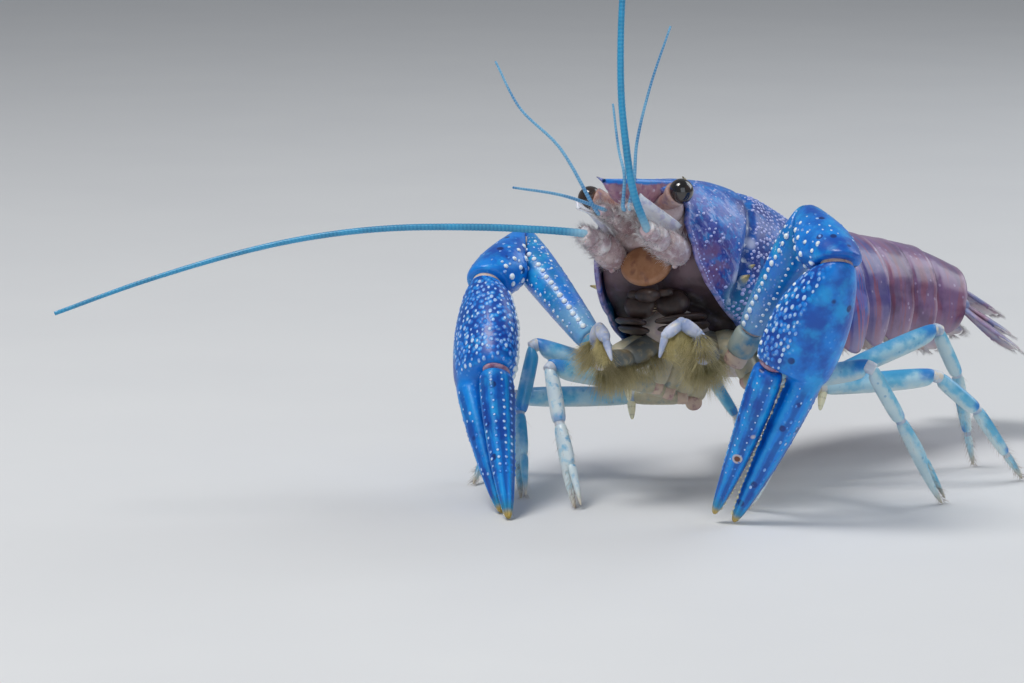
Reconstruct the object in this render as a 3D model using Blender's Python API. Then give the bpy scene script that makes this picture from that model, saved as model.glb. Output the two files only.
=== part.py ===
"""Blue Everglades crayfish, an adult male, standing with both claws lowered to the floor.

Lengths are millimetres until a mesh is made. The trunk has its own axes: x to the animal's
left, s backwards from the carapace's rear edge, n up through its back.
"""

import math

import bmesh
import bpy
from mathutils import Matrix, Vector

MM = 0.001
GAP = 0.3
JOINT_CLEAR = 0.3

# Trunk and its carriage
HEAD_UP = 19.0
LEAN_RIGHT = 8.0
TRUNK_REAR = Vector((0.0, 17.0, 19.3))
FRONT_S = -32.0
BELLY_N = -9.0
SIDE_SWELL = 2.3
BELLY_SWELL = 3.0
# Carapace stations: s, half width, height above the axis, depth below it
CARAPACE = (
    (-32.0, 5.0, 6.5, 5.2),
    (-31.0, 5.8, 7.3, 5.9),
    (-29.0, 6.9, 8.2, 6.8),
    (-26.0, 8.1, 9.0, 8.6),
    (-21.0, 9.3, 9.7, 10.3),
    (-14.0, 9.9, 9.9, 10.6),
    (-7.0, 9.7, 9.3, 10.3),
    (-2.0, 9.0, 8.3, 9.2),
    (0.0, 8.5, 7.7, 8.0),
)
CARAPACE_RINGS = 27
CARAPACE_SIDES = 36
GROOVE_DEPTH = 0.55
GROOVE_WIDTH = 0.8
GROOVE_TOP_S = -14.0
GROOVE_SWEEP = 9.0
AREOLA_HALF = 1.5
RIM_SWELL = 0.45

# Rostrum stations: s, half width, height of its upper face, thickness
ROSTRUM = (
    (-28.5, 2.9, 8.0, 1.9),
    (-32.5, 2.5, 7.4, 1.7),
    (-36.3, 1.9, 6.6, 1.4),
    (-37.4, 1.2, 6.4, 1.2),
    (-40.0, 0.25, 5.8, 0.5),
)

# Head
EYE_RADIUS = 1.35
EYE = Vector((5.8, -33.0, 5.5))
EYE_ROOT = Vector((2.6, -32.15, 4.7))
EYE_STALK_TURN = Vector((3.5, -33.3, 5.0))
EYE_CUT = 0.85
STALK_RADIUS = 0.9
ANTENNULE_ROOT = Vector((1.5, -32.15, 2.6))
ANTENNULE_END = Vector((1.75, -37.4, 2.9))
ANTENNA_ROOT = Vector((3.3, -32.15, -0.6))
ANTENNA_END = Vector((4.0, -37.0, 0.5))
SCALE_ROOT = Vector((4.7, -32.0, 1.9))
SCALE_TIP = Vector((4.1, -38.5, 3.45))
SCALE_HALF = 1.15
MAXILLIPED_ROOT = Vector((2.5, -23.0, BELLY_N - 0.15))
MAXILLIPED_KNEE = Vector((3.4, -29.4, -10.2))
MAXILLIPED_BEND = Vector((2.7, -31.2, -13.2))
MAXILLIPED_TIP = Vector((2.0, -28.4, -14.6))

# Feelers: where each passes, in the animal's standing frame
ANTENNA_LEFT = (
    (3.1, -19.1, 36.3),
    (2.2, -19.2, 41.0),
    (1.2, -18.8, 48.0),
    (0.2, -16.9, 57.5),
    (-0.8, -13.2, 68.0),
    (-1.5, -9.2, 79.0),
    (-2.2, -4.0, 90.0),
)
ANTENNA_RIGHT = (
    (-8.0, -20.6, 31.7),
    (-14.0, -24.6, 32.0),
    (-21.5, -29.6, 31.9),
    (-28.5, -34.3, 31.0),
    (-35.5, -39.3, 29.2),
    (-44.0, -45.5, 26.1),
    (-52.0, -51.0, 22.6),
)
FINE_STEPS = 24
ANTENNULES = {
    "left_inner": ((1.2, -18.0, 38.0), (-0.2, -17.0, 41.0), (-1.4, -16.2, 45.6)),
    "left_outer": ((2.1, -17.4, 37.6), (1.8, -16.3, 41.8), (2.3, -14.3, 47.8), (3.8, -12.7, 54.1)),
    "right_outer": ((-6.2, -19.3, 40.6), (-10.4, -21.0, 45.0), (-13.2, -21.7, 50.1)),
    "right_inner": ((-4.0, -22.6, 36.0), (-6.8, -28.0, 37.2)),
}

# Abdomen: length, bend down, bend to the left, half width, back height, side plate depth
ABDOMEN = (
    (3.2, -15.5, 3.0, 8.0, 8.4, 4.6),
    (5.5, -11.5, 3.0, 8.6, 9.2, 6.8),
    (5.7, 12.5, 5.0, 8.5, 7.9, 6.8),
    (5.5, 4.0, 5.0, 8.2, 6.9, 6.4),
    (5.2, 1.0, 5.0, 7.7, 6.6, 5.8),
    (5.6, -1.0, 5.0, 7.0, 6.2, 4.4),
)
STERNITE_SHARE = 0.52
TELSON_BEND = 21.0
TELSON = ((0.0, 3.1, 0.95), (2.8, 3.5, 0.85), (5.8, 3.3, 0.7), (7.7, 2.7, 0.6), (8.7, 1.3, 0.5))
TELSON_N = 2.0
UROPOD = ((0.0, 0.95, 0.75), (2.0, 1.7, 0.6), (4.8, 2.7, 0.5), (7.2, 2.5, 0.42), (8.6, 1.2, 0.35))
UROPOD_INNER = (3.2, 0.1, 16.0)
UROPOD_OUTER = (5.2, -1.2, 26.0)
PLEOPOD_LENGTH = 4.6

# Claws, in the standing frame: knee, wrist, where the palm points, tip of the fixed
# finger, tip of the moving finger, and the way that the moving finger's side faces
CLAW_HIP = Vector((5.3, -20.2, BELLY_N))
CLAW_COXA = Vector((8.2, -22.8, -11.1))
CLAWS = {
    "left": {
        "knee": (18.6, -8.0, 32.7),
        "wrist": (25.0, -13.2, 29.6),
        "palm_aim": (12.0, -14.3, 0.4),
        "fixed_tip": (13.0, -14.0, 0.0),
        "dactyl_tip": (10.9, -14.7, 0.9),
        "inner": (-0.84, -0.54, 0.0),
    },
    "right": {
        "knee": (-23.2, -0.6, 26.1),
        "wrist": (-22.4, -9.3, 23.2),
        "palm_aim": (-17.6, -17.2, 13.5),
        "fixed_tip": (-11.2, -23.6, 0.0),
        "dactyl_tip": (-8.7, -26.0, 0.0),
        "inner": (0.88, -0.43, 0.1),
    },
}
PALM_LENGTH = 13.3
# Palm stations: distance from the wrist, outer half width, inner half width, half thickness
PALM = (
    (3.2, 3.5, 3.3, 2.8),
    (5.6, 4.2, 4.1, 3.2),
    (8.8, 4.5, 4.4, 3.3),
    (11.9, 4.4, 4.2, 3.0),
)
FINGER_SIDES = 14

# Walking legs, in the standing frame: where each starts on the trunk, its knee, its
# wrist and its tip on the floor
LEG_X = 5.0
LEG_COXA = Vector((1.1, 0.2, -3.4))
LEGS = {
    "leg_2_right": (-15.9, (-12.6, -11.2, 14.6), (-10.0, -13.4, 8.7), (-5.6, -16.6)),
    "leg_3_right": (-12.8, (-17.6, -6.8, 16.1), (-17.3, -10.4, 8.7), (-13.9, -15.0)),
    "leg_4_right": (-9.7, (-21.2, -5.4, 9.6), (-24.4, -4.6, 5.6), (-23.0, -11.4)),
    "leg_5_right": (-6.7, (-12.6, 18.0, 14.2), (-12.8, 23.2, 10.2), (-8.4, 28.2)),
    "leg_2_left": (-15.9, (18.0, -6.6, 16.4), (16.5, -9.4, 9.2), (10.2, -6.4)),
    "leg_3_left": (-12.8, (23.4, -2.2, 16.6), (24.6, 2.9, 10.0), (27.2, 8.6)),
    "leg_4_left": (-9.7, (22.2, 16.3, 12.9), (25.4, 20.2, 8.7), (28.6, 25.9)),
    "leg_5_left": (-6.7, (18.4, 23.6, 17.0), (19.2, 27.4, 11.2), (20.0, 30.4)),
}
TIP_SINK = 0.15

TRUNK_TURN = Matrix.Rotation(math.radians(-HEAD_UP), 3, "X") @ Matrix.Rotation(
    math.radians(-LEAN_RIGHT), 3, "Y"
)
SIDES = {"left": 1.0, "right": -1.0}

# Finishes: base colour, roughness
FINISHES = {
    "carapace": ((0.05, 0.16, 0.55), 0.35),
    "abdomen": ((0.22, 0.16, 0.42), 0.4),
    "fan": ((0.45, 0.35, 0.5), 0.45),
    "claw": ((0.02, 0.25, 0.8), 0.3),
    "leg": ((0.35, 0.75, 0.85), 0.35),
    "eye": ((0.01, 0.01, 0.012), 0.08),
    "stalk": ((0.6, 0.4, 0.35), 0.45),
    "feeler": ((0.1, 0.5, 0.7), 0.4),
    "mouth": ((0.5, 0.48, 0.35), 0.6),
}


def clear_scene():
    for obj in list(bpy.data.objects):
        bpy.data.objects.remove(obj)


def finish_material(name):
    material = bpy.data.materials.get(name)
    if material:
        return material
    colour, roughness = FINISHES[name]
    material = bpy.data.materials.new(name)
    material.use_nodes = True
    shader = material.node_tree.nodes["Principled BSDF"]
    shader.inputs["Base Color"].default_value = (*colour, 1.0)
    shader.inputs["Roughness"].default_value = roughness
    shader.inputs["Metallic"].default_value = 0.0
    return material


def trunk(x, s, n):
    """A point of the trunk's own axes, in the standing frame."""
    return TRUNK_REAR + TRUNK_TURN @ Vector((x, s, n))


def on_side(point, sign):
    """The same trunk point on the left or the right."""
    return trunk(sign * point.x, point.y, point.z)


def flatten_to(ring, along, plane_point, plane_normal):
    """Slides each point of a ring along the limb, onto a plane."""
    slope = along.dot(plane_normal)
    return [p + along * ((plane_point - p).dot(plane_normal) / slope) for p in ring]


def oval(centre, side, up, half_w, top, bottom, count, power=2.0):
    """A closed ring, rounder or boxier with its power, that starts at its side."""
    ring = []
    for k in range(count):
        turn = 2 * math.pi * k / count
        c, s = math.cos(turn), math.sin(turn)
        across = math.copysign(abs(c) ** (2 / power), c) * half_w
        height = math.copysign(abs(s) ** (2 / power), s) * (top if s > 0 else bottom)
        ring.append(centre + side * across + up * height)
    return ring


def square_to(vector, along):
    return (vector - along * vector.dot(along)).normalized()


def skin(rings):
    """One closed mesh through rings that all have the same number of points."""
    mesh = bmesh.new()
    loops = [[mesh.verts.new(p) for p in ring] for ring in rings]
    for first, second in zip(loops, loops[1:]):
        for k in range(len(first)):
            j = (k + 1) % len(first)
            mesh.faces.new((first[k], first[j], second[j], second[k]))
    mesh.faces.new(loops[0][::-1])
    mesh.faces.new(loops[-1])
    bmesh.ops.recalc_face_normals(mesh, faces=mesh.faces)
    return mesh


def make_object(name, mesh, finish, collection=None):
    """A named object from a mesh in millimetres."""
    if mesh.calc_volume(signed=True) < 0:
        bmesh.ops.reverse_faces(mesh, faces=mesh.faces)
    bmesh.ops.scale(mesh, vec=(MM, MM, MM), verts=mesh.verts)
    data = bpy.data.meshes.new(name)
    mesh.to_mesh(data)
    mesh.free()
    data.shade_smooth()
    data.set_sharp_from_angle(angle=math.radians(40))
    data.materials.append(finish_material(finish))
    obj = bpy.data.objects.new(name, data)
    (collection or bpy.context.scene.collection).objects.link(obj)
    return obj


def keep_largest(obj):
    """Drops all but the largest closed surface."""
    mesh = bmesh.new()
    mesh.from_mesh(obj.data)
    left = set(mesh.verts)
    islands = []
    while left:
        seed = left.pop()
        island = {seed}
        edge = [seed]
        while edge:
            vert = edge.pop()
            for link in vert.link_edges:
                other = link.other_vert(vert)
                if other in left:
                    left.remove(other)
                    island.add(other)
                    edge.append(other)
        islands.append(island)

    def reach(island):
        points = [v.co for v in island]
        return sum(max(p[k] for p in points) - min(p[k] for p in points) for k in range(3))

    islands.sort(key=reach)
    for island in islands[:-1]:
        bmesh.ops.delete(mesh, geom=list(island), context="VERTS")
    mesh.to_mesh(obj.data)
    mesh.free()


def fuse(obj, extras):
    """Joins closed meshes, given in millimetres, to an object."""
    if not extras:
        return obj
    mesh = bmesh.new()
    mesh.from_mesh(obj.data)
    bmesh.ops.triangulate(mesh, faces=mesh.faces)
    mesh.to_mesh(obj.data)
    mesh.free()
    group = bpy.data.collections.new(obj.name + "_extras")
    bpy.context.scene.collection.children.link(group)
    for number, extra in enumerate(extras):
        make_object(f"{obj.name}_extra_{number}", extra, obj.data.materials[0].name, group)
    union = obj.modifiers.new("Union", "BOOLEAN")
    union.operation = "UNION"
    union.solver = "EXACT"
    union.operand_type = "COLLECTION"
    union.collection = group
    bpy.context.view_layer.objects.active = obj
    bpy.ops.object.modifier_apply(modifier=union.name)
    for extra in list(group.objects):
        bpy.data.objects.remove(extra)
    bpy.data.collections.remove(group)
    keep_largest(obj)
    return obj


def cut_at_floor(obj):
    """Takes off what lies under the floor and leaves a small flat there."""
    mesh = bmesh.new()
    mesh.from_mesh(obj.data)
    cut = bmesh.ops.bisect_plane(
        mesh,
        geom=mesh.verts[:] + mesh.edges[:] + mesh.faces[:],
        dist=1e-7,
        plane_co=(0, 0, 0),
        plane_no=(0, 0, 1),
        clear_inner=True,
    )
    rim = [e for e in cut["geom_cut"] if isinstance(e, bmesh.types.BMEdge)]
    bmesh.ops.contextual_create(mesh, geom=rim)
    bmesh.ops.recalc_face_normals(mesh, faces=mesh.faces)
    mesh.to_mesh(obj.data)
    mesh.free()
    return obj


def bead(centre, radius):
    mesh = bmesh.new()
    bmesh.ops.create_icosphere(mesh, subdivisions=1, radius=radius)
    bmesh.ops.translate(mesh, verts=mesh.verts, vec=centre)
    return mesh


def spine(root, tip, radius, sides=5):
    """A short cone whose root sinks into what carries it."""
    along = (tip - root).normalized()
    side = square_to(Vector((0.31, 0.52, 0.79)), along)
    up = side.cross(along)
    rings = [oval(root, side, up, radius, radius, radius, sides)]
    rings.append(oval(tip, side, up, radius * 0.18, radius * 0.18, radius * 0.18, sides))
    return skin(rings)


def keep_inside(ring, way, plane_point, plane_normal, clear):
    """Slides points that come too near a plane back along the limb, until they are clear."""
    kept = []
    for p in ring:
        short = clear - (p - plane_point).dot(plane_normal)
        kept.append(p + way * (short / way.dot(plane_normal)) if short > 0 else p)
    return kept


def limb_rings(stops, side, count, start_normal=None, end_normal=None, power=2.0):
    """Rings along a jointed limb.

    stops is a list of stretches, each (start, end, stations), and a station is
    (share of the stretch, half width, half height). Inner joints are mitred, and
    the two ends are cut square or to the given planes, half a gap short of them.
    """
    rings = []
    ways = [(end - start).normalized() for start, end, _ in stops]
    joints = [start_normal or ways[0]]
    joints += [(first + second).normalized() for first, second in zip(ways, ways[1:])]
    joints.append(end_normal or ways[-1])
    for index, (start, end, stations) in enumerate(stops):
        way = ways[index]
        across = square_to(side, way)
        up = across.cross(way)
        first, last = joints[index], joints[index + 1]
        near = start + first * (GAP / 2 if index == 0 else 0.0)
        far = end - last * (GAP / 2 if end_normal and index == len(stops) - 1 else 0.0)
        length = (end - start).length
        for share, half_w, half_h in stations:
            ring = oval(start.lerp(end, share), across, up, half_w, half_h, half_h, count, power)
            if share == 0.0:
                ring = flatten_to(ring, way, near, first)
            elif share == 1.0:
                ring = flatten_to(ring, way, far, last)
            else:
                ring = keep_inside(ring, way, near, first, JOINT_CLEAR * share * length)
                ring = keep_inside(ring, -way, far, -last, JOINT_CLEAR * (1 - share) * length)
            rings.append(ring)
    return rings


def smooth_line(points, count):
    """Points at equal distances along a Catmull-Rom curve."""
    points = [points[0] * 2 - points[1], *points, points[-1] * 2 - points[-2]]
    curve = []
    for i in range(len(points) - 3):
        a, b, c, d = points[i : i + 4]
        for k in range(FINE_STEPS):
            t = k / FINE_STEPS
            curve.append(
                0.5
                * (
                    2 * b
                    + (c - a) * t
                    + (2 * a - 5 * b + 4 * c - d) * t**2
                    + (3 * b - a - 3 * c + d) * t**3
                )
            )
    curve.append(points[-2])
    reach = [0.0]
    for first, second in zip(curve, curve[1:]):
        reach.append(reach[-1] + (second - first).length)
    line = []
    at = 0
    for k in range(count):
        goal = reach[-1] * k / (count - 1)
        while at < len(curve) - 2 and reach[at + 1] < goal:
            at += 1
        share = (goal - reach[at]) / (reach[at + 1] - reach[at])
        line.append(curve[at].lerp(curve[at + 1], share))
    return line


def feeler(name, points, root_normal, thick, thin, count, sides=8):
    """A whip that tapers along a smooth line, its root cut to a plane."""
    line = smooth_line([Vector(p) for p in points], count)
    side = Vector((0.55, -0.83, 0.12))
    rings = []
    for k, centre in enumerate(line):
        ahead = line[min(k + 1, count - 1)]
        behind = line[max(k - 1, 0)]
        way = (ahead - behind).normalized()
        across = square_to(side, way)
        share = k / (count - 1)
        radius = thick + (thin - thick) * share**0.8
        ring = oval(centre, across, across.cross(way), radius, radius, radius, sides)
        if k == 0:
            ring = flatten_to(ring, way, centre + root_normal * GAP, root_normal)
        rings.append(ring)
    return make_object(name, skin(rings), "feeler")


def between(stations, s):
    """The station values at s, by a smooth curve through the table."""
    for k in range(len(stations) - 1):
        if s <= stations[k + 1][0] or k == len(stations) - 2:
            break
    before = stations[max(k - 1, 0)]
    first, second = stations[k], stations[k + 1]
    after = stations[min(k + 2, len(stations) - 1)]
    span = second[0] - first[0]
    t = (s - first[0]) / span
    values = []
    for j in range(1, len(first)):
        m0 = (second[j] - before[j]) / (second[0] - before[0]) * span
        m1 = (after[j] - first[j]) / (after[0] - first[0]) * span
        values.append(
            (2 * t**3 - 3 * t**2 + 1) * first[j]
            + (t**3 - 2 * t**2 + t) * m0
            + (3 * t**2 - 2 * t**3) * second[j]
            + (t**3 - t**2) * m1
        )
    return values


def groove_inset(turn, s):
    """How far the cervical and the branchial grooves draw the shell in."""
    height = math.sin(turn)
    if height < -0.35:
        return 0.0
    middle = GROOVE_TOP_S - GROOVE_SWEEP * (1 - height) ** 0.36
    inset = GROOVE_DEPTH * math.exp(-(((s - middle) / GROOVE_WIDTH) ** 2))
    if s > GROOVE_TOP_S and height > 0.9:
        across = abs(math.cos(turn)) * 9.0
        inset += 0.3 * math.exp(-(((across - AREOLA_HALF) / 0.7) ** 2))
    return inset


def cephalothorax():
    """Head and thorax under one shell, with the rostrum and the shell's spines."""
    side, up = TRUNK_TURN.col[0], TRUNK_TURN.col[2]
    rings = []
    for k in range(CARAPACE_RINGS):
        share = k / (CARAPACE_RINGS - 1)
        s = FRONT_S * (1 - share) - GAP / 2 * share
        half_w, top, bottom = between(CARAPACE, s)
        swell = RIM_SWELL * max(0.0, 1 - abs(s + 0.5))
        ring = []
        for j in range(CARAPACE_SIDES):
            turn = 2 * math.pi * j / CARAPACE_SIDES
            c, h = math.cos(turn), math.sin(turn)
            power = SIDE_SWELL if h > 0 else BELLY_SWELL
            inset = groove_inset(turn, s)
            x = math.copysign(abs(c) ** (2 / power), c) * (half_w - inset)
            n = math.copysign(abs(h) ** (2 / power), h) * ((top - inset) if h > 0 else bottom)
            n = max(n, BELLY_N)
            if n > BELLY_N:
                x += math.copysign(swell, x) * abs(c)
            ring.append(TRUNK_REAR + side * x + TRUNK_TURN.col[1] * s + up * n)
        rings.append(ring)
    obj = make_object("cephalothorax", skin(rings), "carapace")
    extras = [rostrum()]
    for sign in SIDES.values():
        extras.append(spine(trunk(sign * 1.5, -35.6, 6.1), trunk(sign * 2.2, -37.8, 6.4), 0.4))
        extras.append(spine(trunk(sign * 4.4, -28.2, 6.4), trunk(sign * 4.8, -30.8, 7.2), 0.5))
        extras.append(spine(trunk(sign * 7.9, -22.8, -2.6), trunk(sign * 9.9, -24.2, -2.4), 0.7))
        for row, n in enumerate((2.0, -0.5, -3.0, -5.5)):
            s = -29.0 + row * 0.9
            half_w = between(CARAPACE, s)[0]
            x = sign * half_w * (1 - abs(n / 9.5) ** 2.6)
            extras.append(bead(trunk(x, s, n), 0.42))
    return fuse(obj, extras)


def rostrum():
    side, way, up = TRUNK_TURN.col
    rings = []
    for s, half_w, top, thick in ROSTRUM:
        centre = trunk(0, s, top - thick / 2)
        ring = oval(centre, side, up, half_w, thick / 2, thick / 2, 10, 2.6)
        middle = trunk(0, s, 0)
        for point in ring:
            across = abs((point - middle).dot(side)) / half_w
            if (point - centre).dot(up) > 0 and across < 0.6:
                point -= up * thick * 0.22
        rings.append(ring)
    return skin(rings)


def eyes():
    for name, sign in SIDES.items():
        centre = on_side(EYE, sign)
        root = on_side(EYE_ROOT, sign)
        bend = on_side(EYE_STALK_TURN, sign)
        way = (centre - bend).normalized()
        front = -TRUNK_TURN.col[1]
        stops = [
            (root, bend, ((0.0, 0.95, 0.95), (0.55, 0.9, 0.9))),
            (bend, centre - way * (EYE_CUT + GAP), ((0.35, 0.9, 0.9), (1.0, 0.98, 0.98))),
        ]
        rings = limb_rings(stops, TRUNK_TURN.col[2], 12, start_normal=front)
        make_object(f"eyestalk_{name}", skin(rings), "stalk")
        side = square_to(Vector((0, 0, 1)), way)
        up = side.cross(way)
        ball = []
        steps = 9
        start = math.acos(EYE_CUT / EYE_RADIUS)
        for k in range(steps):
            turn = start + (math.pi * 0.94 - start) * k / (steps - 1)
            place = centre - way * (math.cos(turn) * EYE_RADIUS)
            radius = math.sin(turn) * EYE_RADIUS
            ball.append(oval(place, side, up, radius, radius, radius, 18))
        make_object(f"eye_{name}", skin(ball), "eye")


def antennules():
    for name, sign in SIDES.items():
        root, end = on_side(ANTENNULE_ROOT, sign), on_side(ANTENNULE_END, sign)
        way = (end - root).normalized()
        stations = ((0.0, 0.8, 0.85), (0.3, 0.9, 0.95), (0.36, 0.78, 0.8), (0.66, 0.85, 0.85))
        stations += ((0.7, 0.72, 0.75), (1.0, 0.75, 0.8))
        rings = limb_rings(
            [(root, end, stations)], TRUNK_TURN.col[0], 10, start_normal=-TRUNK_TURN.col[1]
        )
        make_object(f"antennule_{name}", skin(rings), "mouth")
        lateral = square_to(TRUNK_TURN.col[0] * sign, way)
        for part, shift in (("outer", 0.42), ("inner", -0.42)):
            start = end + lateral * shift
            points = (start, start + way, *ANTENNULES[f"{name}_{part}"])
            feeler(f"antennule_{name}_{part}", points, way, 0.36, 0.22, 13, 6)


def antennae():
    lines = {"left": ANTENNA_LEFT, "right": ANTENNA_RIGHT}
    for name, sign in SIDES.items():
        root, end = on_side(ANTENNA_ROOT, sign), on_side(ANTENNA_END, sign)
        way = (end - root).normalized()
        aim = (Vector(lines[name][0]) - end).normalized()
        stations = ((0.0, 1.25, 1.25), (0.25, 1.35, 1.4), (0.4, 1.15, 1.15), (0.62, 1.25, 1.25))
        stations += ((0.75, 1.0, 1.0), (1.0, 0.95, 0.95))
        rings = limb_rings(
            [(root, end, stations)],
            TRUNK_TURN.col[0],
            12,
            start_normal=-TRUNK_TURN.col[1],
            end_normal=(way + aim).normalized(),
        )
        make_object(f"antenna_base_{name}", skin(rings), "mouth")
        normal = (way + aim).normalized()
        start = end - normal * (GAP / 2)
        feeler(f"antenna_{name}", (start, *lines[name]), normal, 0.62, 0.3, 30, 8)


def antenna_scales():
    """The broad blade outside each antenna, thick along its outer edge."""
    front = -TRUNK_TURN.col[1]
    for name, sign in SIDES.items():
        root, tip = on_side(SCALE_ROOT, sign), on_side(SCALE_TIP, sign)
        way = (tip - root).normalized()
        across = square_to(TRUNK_TURN.col[0] * sign, way)
        up = across.cross(way)
        rings = []
        stations = ((0.0, 0.55), (0.2, 0.8), (0.5, 1.0), (0.75, 0.85), (0.9, 0.5), (1.0, 0.1))
        for share, width in stations:
            half = SCALE_HALF * width
            centre = root.lerp(tip, share) - across * (half - SCALE_HALF * 0.55)
            ring = oval(centre, across, up, half, 0.38, 0.38, 12, 2.4)
            if share == 0.0:
                ring = flatten_to(ring, way, root + front * GAP, front)
            rings.append(ring)
        make_object(f"antenna_scale_{name}", skin(rings), "mouth")


def maxillipeds():
    """The third pair of mouth limbs, folded under the head."""
    down = -TRUNK_TURN.col[2]
    for name, sign in SIDES.items():
        root = on_side(MAXILLIPED_ROOT, sign)
        knee = on_side(MAXILLIPED_KNEE, sign)
        bend = on_side(MAXILLIPED_BEND, sign)
        tip = on_side(MAXILLIPED_TIP, sign)
        low = root + down * 1.7 - TRUNK_TURN.col[1] * 1.2
        stops = [
            (root + down * (GAP / 2), low, ((0.0, 1.5, 1.3), (1.0, 1.6, 1.1))),
            (low, knee, ((0.4, 1.8, 1.2), (0.8, 1.7, 1.2), (1.0, 1.5, 1.2))),
            (knee, bend, ((0.45, 1.3, 1.2), (1.0, 1.15, 1.05))),
            (bend, tip, ((0.5, 0.95, 0.85), (1.0, 0.4, 0.4))),
        ]
        rings = limb_rings(stops, TRUNK_TURN.col[0], 12, start_normal=down)
        make_object(f"maxilliped_{name}", skin(rings), "mouth")


def turned(first, second, share):
    """The turn that lies a share of the way between two others."""
    return first.to_quaternion().slerp(second.to_quaternion(), share).to_matrix()


def abdomen_frames():
    """Where each segment starts, its own turn, and the turn of the plane at each joint."""
    places, turns = [trunk(0, 0, 0)], []
    turn = TRUNK_TURN.copy()
    for length, down, left, *_ in ABDOMEN:
        bend = Matrix.Rotation(math.radians(-down), 3, "X")
        turn = Matrix.Rotation(math.radians(-left), 3, "Z") @ turn @ bend
        turns.append(turn.copy())
        places.append(places[-1] + turn.col[1] * length)
    turns.append(turn @ Matrix.Rotation(math.radians(-TELSON_BEND), 3, "X"))
    joints = [TRUNK_TURN]
    joints += [turned(first, second, 0.5) for first, second in zip(turns, turns[1:])]
    return places, turns, joints


def ring_of_segment(centre, turn, half_w, top, plate, sternite):
    """The outline of an abdomen segment, a back arch with a side plate hanging at each edge."""
    side, up = turn.col[0], turn.col[2]
    arch = []
    steps = 14
    for k in range(steps + 1):
        angle = math.pi * k / steps
        c, s = math.cos(angle), math.sin(angle)
        across = math.copysign(abs(c) ** (2 / 2.3), c) * half_w
        arch.append((across, -1.6 + (top + 1.6) * s ** (2 / 2.3)))
    outline = [(half_w * 0.93, -plate), (half_w, -plate * 0.62), *arch]
    outline += [(-half_w, -plate * 0.62), (-half_w * 0.93, -plate)]
    outline += [(-half_w * 0.78, -plate * 0.8), (-half_w * 0.7, -sternite)]
    outline += [(-half_w * 0.25, -sternite), (half_w * 0.25, -sternite)]
    outline += [(half_w * 0.7, -sternite), (half_w * 0.78, -plate * 0.8)]
    return [centre + side * x + up * n for x, n in outline]


def abdomen():
    places, turns, joints = abdomen_frames()
    shapes = [values[3:] for values in ABDOMEN]
    shapes.append((6.2, 4.2, 3.4))
    for k, (length, _, _, half_w, top, plate) in enumerate(ABDOMEN):
        start, end = places[k], places[k + 1]
        following = shapes[k + 1]
        rings = []
        stations = ((0.0, 0.955, 0.6), (0.2, 0.985, 0.88), (0.55, 1.0, 1.0), (0.85, 1.0, 0.92))
        stations += ((1.0, 0.985, 0.66),)
        for share, size, drop in stations:
            wide = half_w + (following[0] - half_w) * share * 0.9
            high = top + (following[1] - top) * share * 0.9
            depth = plate * drop
            sternite = min(plate * STERNITE_SHARE, depth * 0.85)
            turn = turned(joints[k], joints[k + 1], share)
            centre = start.lerp(end, share) + turn.col[1] * (GAP * (0.5 - share))
            rings.append(
                ring_of_segment(centre, turn, wide * size, high * size, depth, sternite)
            )
        obj = make_object(f"abdomen_{k + 1}", skin(rings), "abdomen")
        if k in (1, 2, 3, 4):
            middle, turn = start.lerp(end, 0.5), turns[k]
            extras = []
            for sign in SIDES.values():
                root = middle + turn @ Vector((sign * 3.0, 0, -plate * STERNITE_SHARE + 0.6))
                tip = root + turn @ Vector((sign * 0.5, 2.2, -PLEOPOD_LENGTH))
                extras.append(spine(root, tip, 0.75, 6))
            fuse(obj, extras)
    tail_fan(places[-1], turns[-1], joints[-1])


def vane(name, root, way, up, stations, face):
    """A flat blade with rounded edges, its root cut to the face that carries it."""
    across = square_to(way.cross(up), way)
    lift = across.cross(way)
    rings = []
    for distance, half_w, half_h in stations:
        ring = oval(root + way * distance, across, lift, half_w, half_h / 2, half_h / 2, 14, 2.6)
        if distance == 0.0:
            ring = flatten_to(ring, way, root + face * (GAP / 2), face)
        rings.append(ring)
    return make_object(name, skin(rings), "fan")


def tail_fan(root, turn, joint):
    face = joint.col[1]
    up = turn.col[2]
    vane("telson", root + up * TELSON_N, turn.col[1], up, TELSON, face)
    for name, sign in SIDES.items():
        for part, (x, n, spread) in (("inner", UROPOD_INNER), ("outer", UROPOD_OUTER)):
            angle = math.radians(spread)
            droop = -0.12 if part == "inner" else -0.24
            way = turn @ Vector((sign * math.sin(angle), math.cos(angle), droop)).normalized()
            start = root + joint @ Vector((sign * x, 0, n))
            tilt = turn @ Vector((sign * 0.2, 0, 1)).normalized()
            vane(f"uropod_{name}_{part}", start, way, square_to(tilt, way), UROPOD, face)


def rows(start, end, across, up, counts, spread, lift, size):
    """Beads in rows along a limb: one row for each count, fanned round its upper side."""
    beads = []
    for row, count in enumerate(counts):
        angle = math.radians(spread[row])
        out = across * math.cos(angle) + up * math.sin(angle)
        for k in range(count):
            share = (k + 0.6 + 0.35 * (row % 2)) / (count + 0.4)
            centre = start.lerp(end, share) + out * lift(share)
            beads.append(bead(centre, size * (0.85 + 0.3 * ((k * 5 + row * 3) % 4) / 3)))
    return beads


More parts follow.
